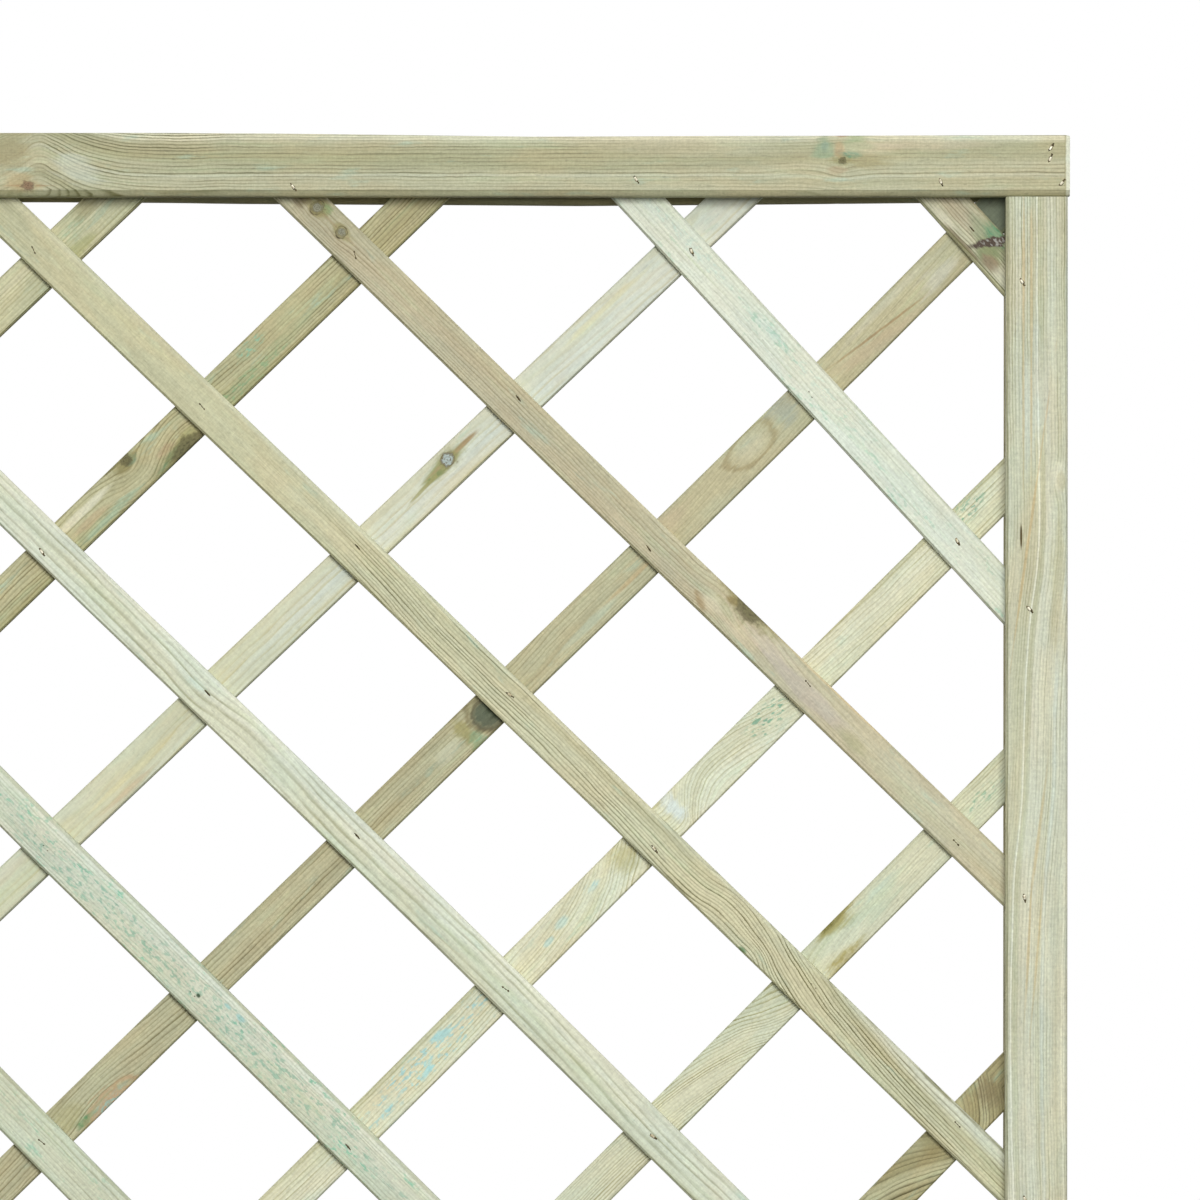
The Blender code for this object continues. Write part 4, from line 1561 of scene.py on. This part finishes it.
def plain_material(name, tone, other, metallic, scale):
    """A material that wanders between two tones. Each is given with its roughness."""
    (tone, rough), (other, other_rough) = tone, other
    material, tree = new_material(name)
    grain = tree.noise(tree.coordinates("Object") * (scale, scale, scale), 3.0, 0.6)
    share = grain.step("plain")
    inputs = {
        "Base Color": tree.mix(share, linear(tone), linear(other)),
        "Metallic": metallic,
        "Roughness": share.scaled(other_rough - rough, plus=rough),
        "Normal": tree.add("ShaderNodeBump", {"Strength": 0.5, "Distance": 0.1 * MM, "Height": grain}),
    }
    tree.surface(tree.add("ShaderNodeBsdfPrincipled", inputs))
    return material


def wire_material():
    """Galvanised wire, dulled and here and there brown."""
    return plain_material("staple_wire", ((226, 222, 200), 0.5), ((176, 164, 132), 0.7), 0.25, 420.0)


def hole_material():
    """The torn, stained wood that a driven staple leaves, darkened as painted shade for its hollow."""
    return plain_material("torn_wood_and_shade", ((52, 46, 30), 0.9), ((96, 84, 54), 0.9), 0.0, 900.0)


class Driven:
    """A staple nearest to the spot on its board's face, its crown falling to the right by the lean."""

    def __init__(self, board, spot, lean):
        along, across, _ = board.lengths_of(spot)
        self.middle = board.point(along, across, FACE_INSET + wander(board, 2, along))
        self.along = Vector((cos(radians(lean)), 0, -sin(radians(lean))))
        self.across = Vector((sin(radians(lean)), 0, cos(radians(lean))))

    def point(self, along, across, depth):
        return self.middle + self.along * along + self.across * across + Vector((0, depth, 0))


def add_wire(shape, staple):
    """The crown and the tops of the legs, bent from flat wire."""
    half = CROWN / 2 - WIRE_WIDTH / 2
    line = WIRE_THICKNESS / 2 - WIRE_PROUD
    path = [(-half, line + LEG_SHOWN), (-half, line + LEG_BEND)]
    path += [
        (-half + LEG_BEND * (1 - cos(turn)), line + LEG_BEND * (1 - sin(turn)))
        for turn in (pi / 6, pi / 3, pi / 2)
    ]
    path += [(-along, depth) for along, depth in reversed(path)]
    rings = []
    for number, (along, depth) in enumerate(path):
        before, after = path[max(number - 1, 0)], path[min(number + 1, len(path) - 1)]
        way = Vector((after[0] - before[0], after[1] - before[1])).normalized()
        ring = []
        for side in range(WIRE_SIDES):
            turned = 2 * pi * (side + 0.5) / WIRE_SIDES
            off, across = WIRE_THICKNESS / 2 * cos(turned), WIRE_WIDTH / 2 * sin(turned)
            ring.append(staple.point(along - way.y * off, across, depth + way.x * off))
        rings.append(ring)
    skin(shape, rings)


def add_hole(shape, staple, along, length, width, rng):
    """A ragged dark spot, a hair proud of the wood, round a place along the crown: torn wood and
    painted shade standing in for the hollow.
    """
    reaches = [rng.uniform(*HOLE_REACH) for _ in range(HOLE_POINTS)]
    rings = []
    for share, depth in HOLE_LEVELS:
        ring = []
        for number, reach in enumerate(reaches):
            turned, size = 2 * pi * number / HOLE_POINTS, share * reach / 2
            off_along, off_across = size * length * cos(turned), size * width * sin(turned)
            ring.append(staple.point(along + off_along, off_across, depth))
        rings.append(ring)
    skin(shape, rings)


def drive(wires, holes, staple, look, rng):
    """Adds what shows of one staple to the wires and to the dark spots."""
    if look == "wire":
        add_wire(wires, staple)
    for along, *sizes in HOLES[look]:
        length, width = (rng.uniform(*size) if isinstance(size, tuple) else size for size in sizes)
        add_hole(holes, staple, along * MM, length * MM, width * MM, rng)


def show_staples(shape, name, material, slot, *nodes):
    bmesh.ops.recalc_face_normals(shape, faces=shape.faces)
    for face in shape.faces:
        face.smooth = True
    mesh = mesh_of(shape, name)
    mesh.materials.append(material)
    show_piece(name, mesh, slot, *nodes)


def crossing_point(front, back):
    """Where the middle lines of two boards cross, seen from the front."""
    offset = back.start - front.start
    turned = front.run.x * back.run.z - front.run.z * back.run.x
    along = (offset.x * back.run.z - offset.z * back.run.x) / turned
    return front.point(along, 0, 0)


def inside_opening(point, margin):
    """Whether a point lies between the front battens, at least this far from them."""
    low, high = OPENING
    return all(low[axis] + margin < point[axis] < high[axis] - margin for axis in (0, 2))


def crossing_staples(boards, rng):
    """Every crossing's front slat, with the spot, lean and look of its staple."""
    for front_number, front_name in enumerate(FRONT_SLATS, 1):
        for back_number, back_name in enumerate(BACK_SLATS, 1):
            front = boards[front_name]
            look = rng.choice(CROSSING_LOOKS)
            lean = CROSSING_LEAN + rng.uniform(-1, 1) * CROSSING_LEAN_SPREAD
            jitter = [rng.uniform(-1, 1) * CROSSING_SPREAD for _ in range(2)]
            seen = SEEN_CROSSINGS.get((front_number, back_number))
            if seen:
                pixel, lean, look = seen
                yield front, seen_point(pixel, front.front_y), lean, look
                continue
            spot = crossing_point(front, boards[back_name])
            if inside_opening(spot, CROSSING_MARGIN):
                yield front, spot + front.run * jitter[0] + front.across * jitter[1], lean, look


def end_staples(boards, rng):
    """Every slat's end under a front batten that no solid staple holds."""
    solid = [sum(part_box(name), Vector()) / 2 for name in STAPLES]
    for slat in (boards[name] for name in FRONT_SLATS):
        for batten in (boards[name] for name in FRONT_BATTENS):
            line = crossing_point(slat, batten)
            inwards = batten.across if (CENTRE - line).dot(batten.across) > 0 else -batten.across
            off_middle = batten.face / 2 - END_STAPLE_INSET
            spot = line + slat.run * (off_middle / slat.run.dot(inwards))
            spot.y = batten.front_y
            lean, look = rng.uniform(*END_LEANS), rng.choice(END_LOOKS)
            reach = batten.lengths_of(spot).x
            close = min((spot - other).length for other in solid)
            if END_MARGIN < reach < batten.length - END_MARGIN and close > SOLID_MARGIN:
                yield batten, spot, lean, look


def staple_lean(name):
    """How many degrees a solid staple's crown falls to the right."""
    points = np.array([(vertex.co.x, vertex.co.z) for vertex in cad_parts[name].data.vertices])
    points -= points.mean(axis=0)
    _, _, ways = np.linalg.svd(points, full_matrices=False)
    right, up = ways[0] * (1 if ways[0][0] > 0 else -1)
    return -degrees(atan2(up, right))


def batten_at(boards, spot):
    """The front batten that a spot lies on."""
    def off(batten):
        along, across, _ = batten.lengths_of(spot)
        return abs(across) + (not 0 < along < batten.length)

    return min((boards[name] for name in FRONT_BATTENS), key=off)


def add_staples(boards):
    wire, hole = wire_material(), hole_material()
    rng = random.Random(STAPLE_SEED)
    places = (("crossing", crossing_staples, "front_slat_timber"), ("end", end_staples, "frame_timber"))
    for kind, found, slot in places:
        wires, holes = bmesh.new(), bmesh.new()
        for board, spot, lean, look in found(boards, rng):
            drive(wires, holes, Driven(board, spot, lean), look, rng)
        show_staples(wires, f"{kind}_staples", wire, "staple_wire")
        show_staples(holes, f"{kind}_staple_holes", hole, slot)
    holes = bmesh.new()
    for name in STAPLES:
        low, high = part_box(name)
        middle = low.lerp(high, 0.5)
        wires = bmesh.new()
        drive(wires, holes, Driven(batten_at(boards, middle), middle, staple_lean(name)), "wire", rng)
        show_staples(wires, f"{name}_wire", wire, "staple_wire", name)
    show_staples(holes, "frame_staple_holes", hole, "frame_timber")


# The sky's strength at two heights of its direction, and how far off the floor turns white
SKY_HEIGHTS = (-0.1, 0.6)
SKY_STRENGTHS = (0.03, 0.6)
WHITE = (1, 1, 1, 1)
FLOOR_HALF = 9.0
FLOOR_FADE = (1.6, 4.5)
FLOOR_TONE = (0.22, 0.22, 0.21, 1)
FLOOR_SEEN_TONE = (0.82, 0.82, 0.81, 1)

# Each lamp's place from the panel's middle, its size and its power
LAMPS = {
    "key": ((1.0, -4.3, 1.5), 1.5, 165),
    "fill": ((1.6, -4.0, -1.2), 2.5, 14),
    "rear": ((-1.5, 3.5, 2.5), 2.5, 60),
}


def add_lamp(name, place, size, watts):
    lamp = bpy.data.lights.new(name, "AREA")
    lamp.size = size
    lamp.energy = watts
    holder = add_object(name, lamp)
    holder.location = CENTRE + Vector(place)
    holder.rotation_euler = (-Vector(place)).to_track_quat("-Z", "Y").to_euler()


def mixed(tree, share, first, second):
    return tree.add("ShaderNodeMixShader", {0: share, 1: first, 2: second})


def add_world():
    """White for the camera and for shiny things. The rest is lit more from above than from below."""
    world = bpy.data.worlds.new("studio")
    bpy.context.scene.world = world
    tree = emptied(world)
    mirrored = tree.math("MAXIMUM", tree.ray("Glossy"), tree.ray("Transmission"))
    seen = tree.math("MAXIMUM", tree.ray("Camera"), mirrored)
    _, _, up = tree.coordinates("Generated").parts()
    sky = up.step(SKY_HEIGHTS, *SKY_STRENGTHS)
    soft = tree.add("ShaderNodeBackground", {"Color": WHITE, "Strength": sky})
    white = tree.add("ShaderNodeBackground", {"Color": WHITE, "Strength": 1.0})
    tree.surface(mixed(tree, seen, soft, white), "ShaderNodeOutputWorld")


def floor_material():
    """Pale with the panel's shadow on it, and white far off. It throws little light back."""
    material, tree = new_material("floor")
    ray = tree.ray("Camera")
    away = tree.coordinates("Object").length().step(FLOOR_FADE)
    pale = tree.add("ShaderNodeBsdfDiffuse", {"Color": tree.mix(ray, FLOOR_TONE, FLOOR_SEEN_TONE)})
    white = tree.add("ShaderNodeEmission", {"Color": WHITE, "Strength": ray})
    tree.surface(mixed(tree, away, pale, white))
    return material


def add_floor():
    shape = bmesh.new()
    bmesh.ops.create_grid(shape, x_segments=1, y_segments=1, size=FLOOR_HALF)
    mesh = mesh_of(shape, "floor")
    mesh.materials.append(floor_material())
    floor = add_object("floor", mesh)


add_staples(add_boards())
add_world()
add_floor()
for name, (place, size, watts) in LAMPS.items():
    add_lamp(name, place, size, watts)
bpy.context.scene.view_settings.view_transform = "Standard"
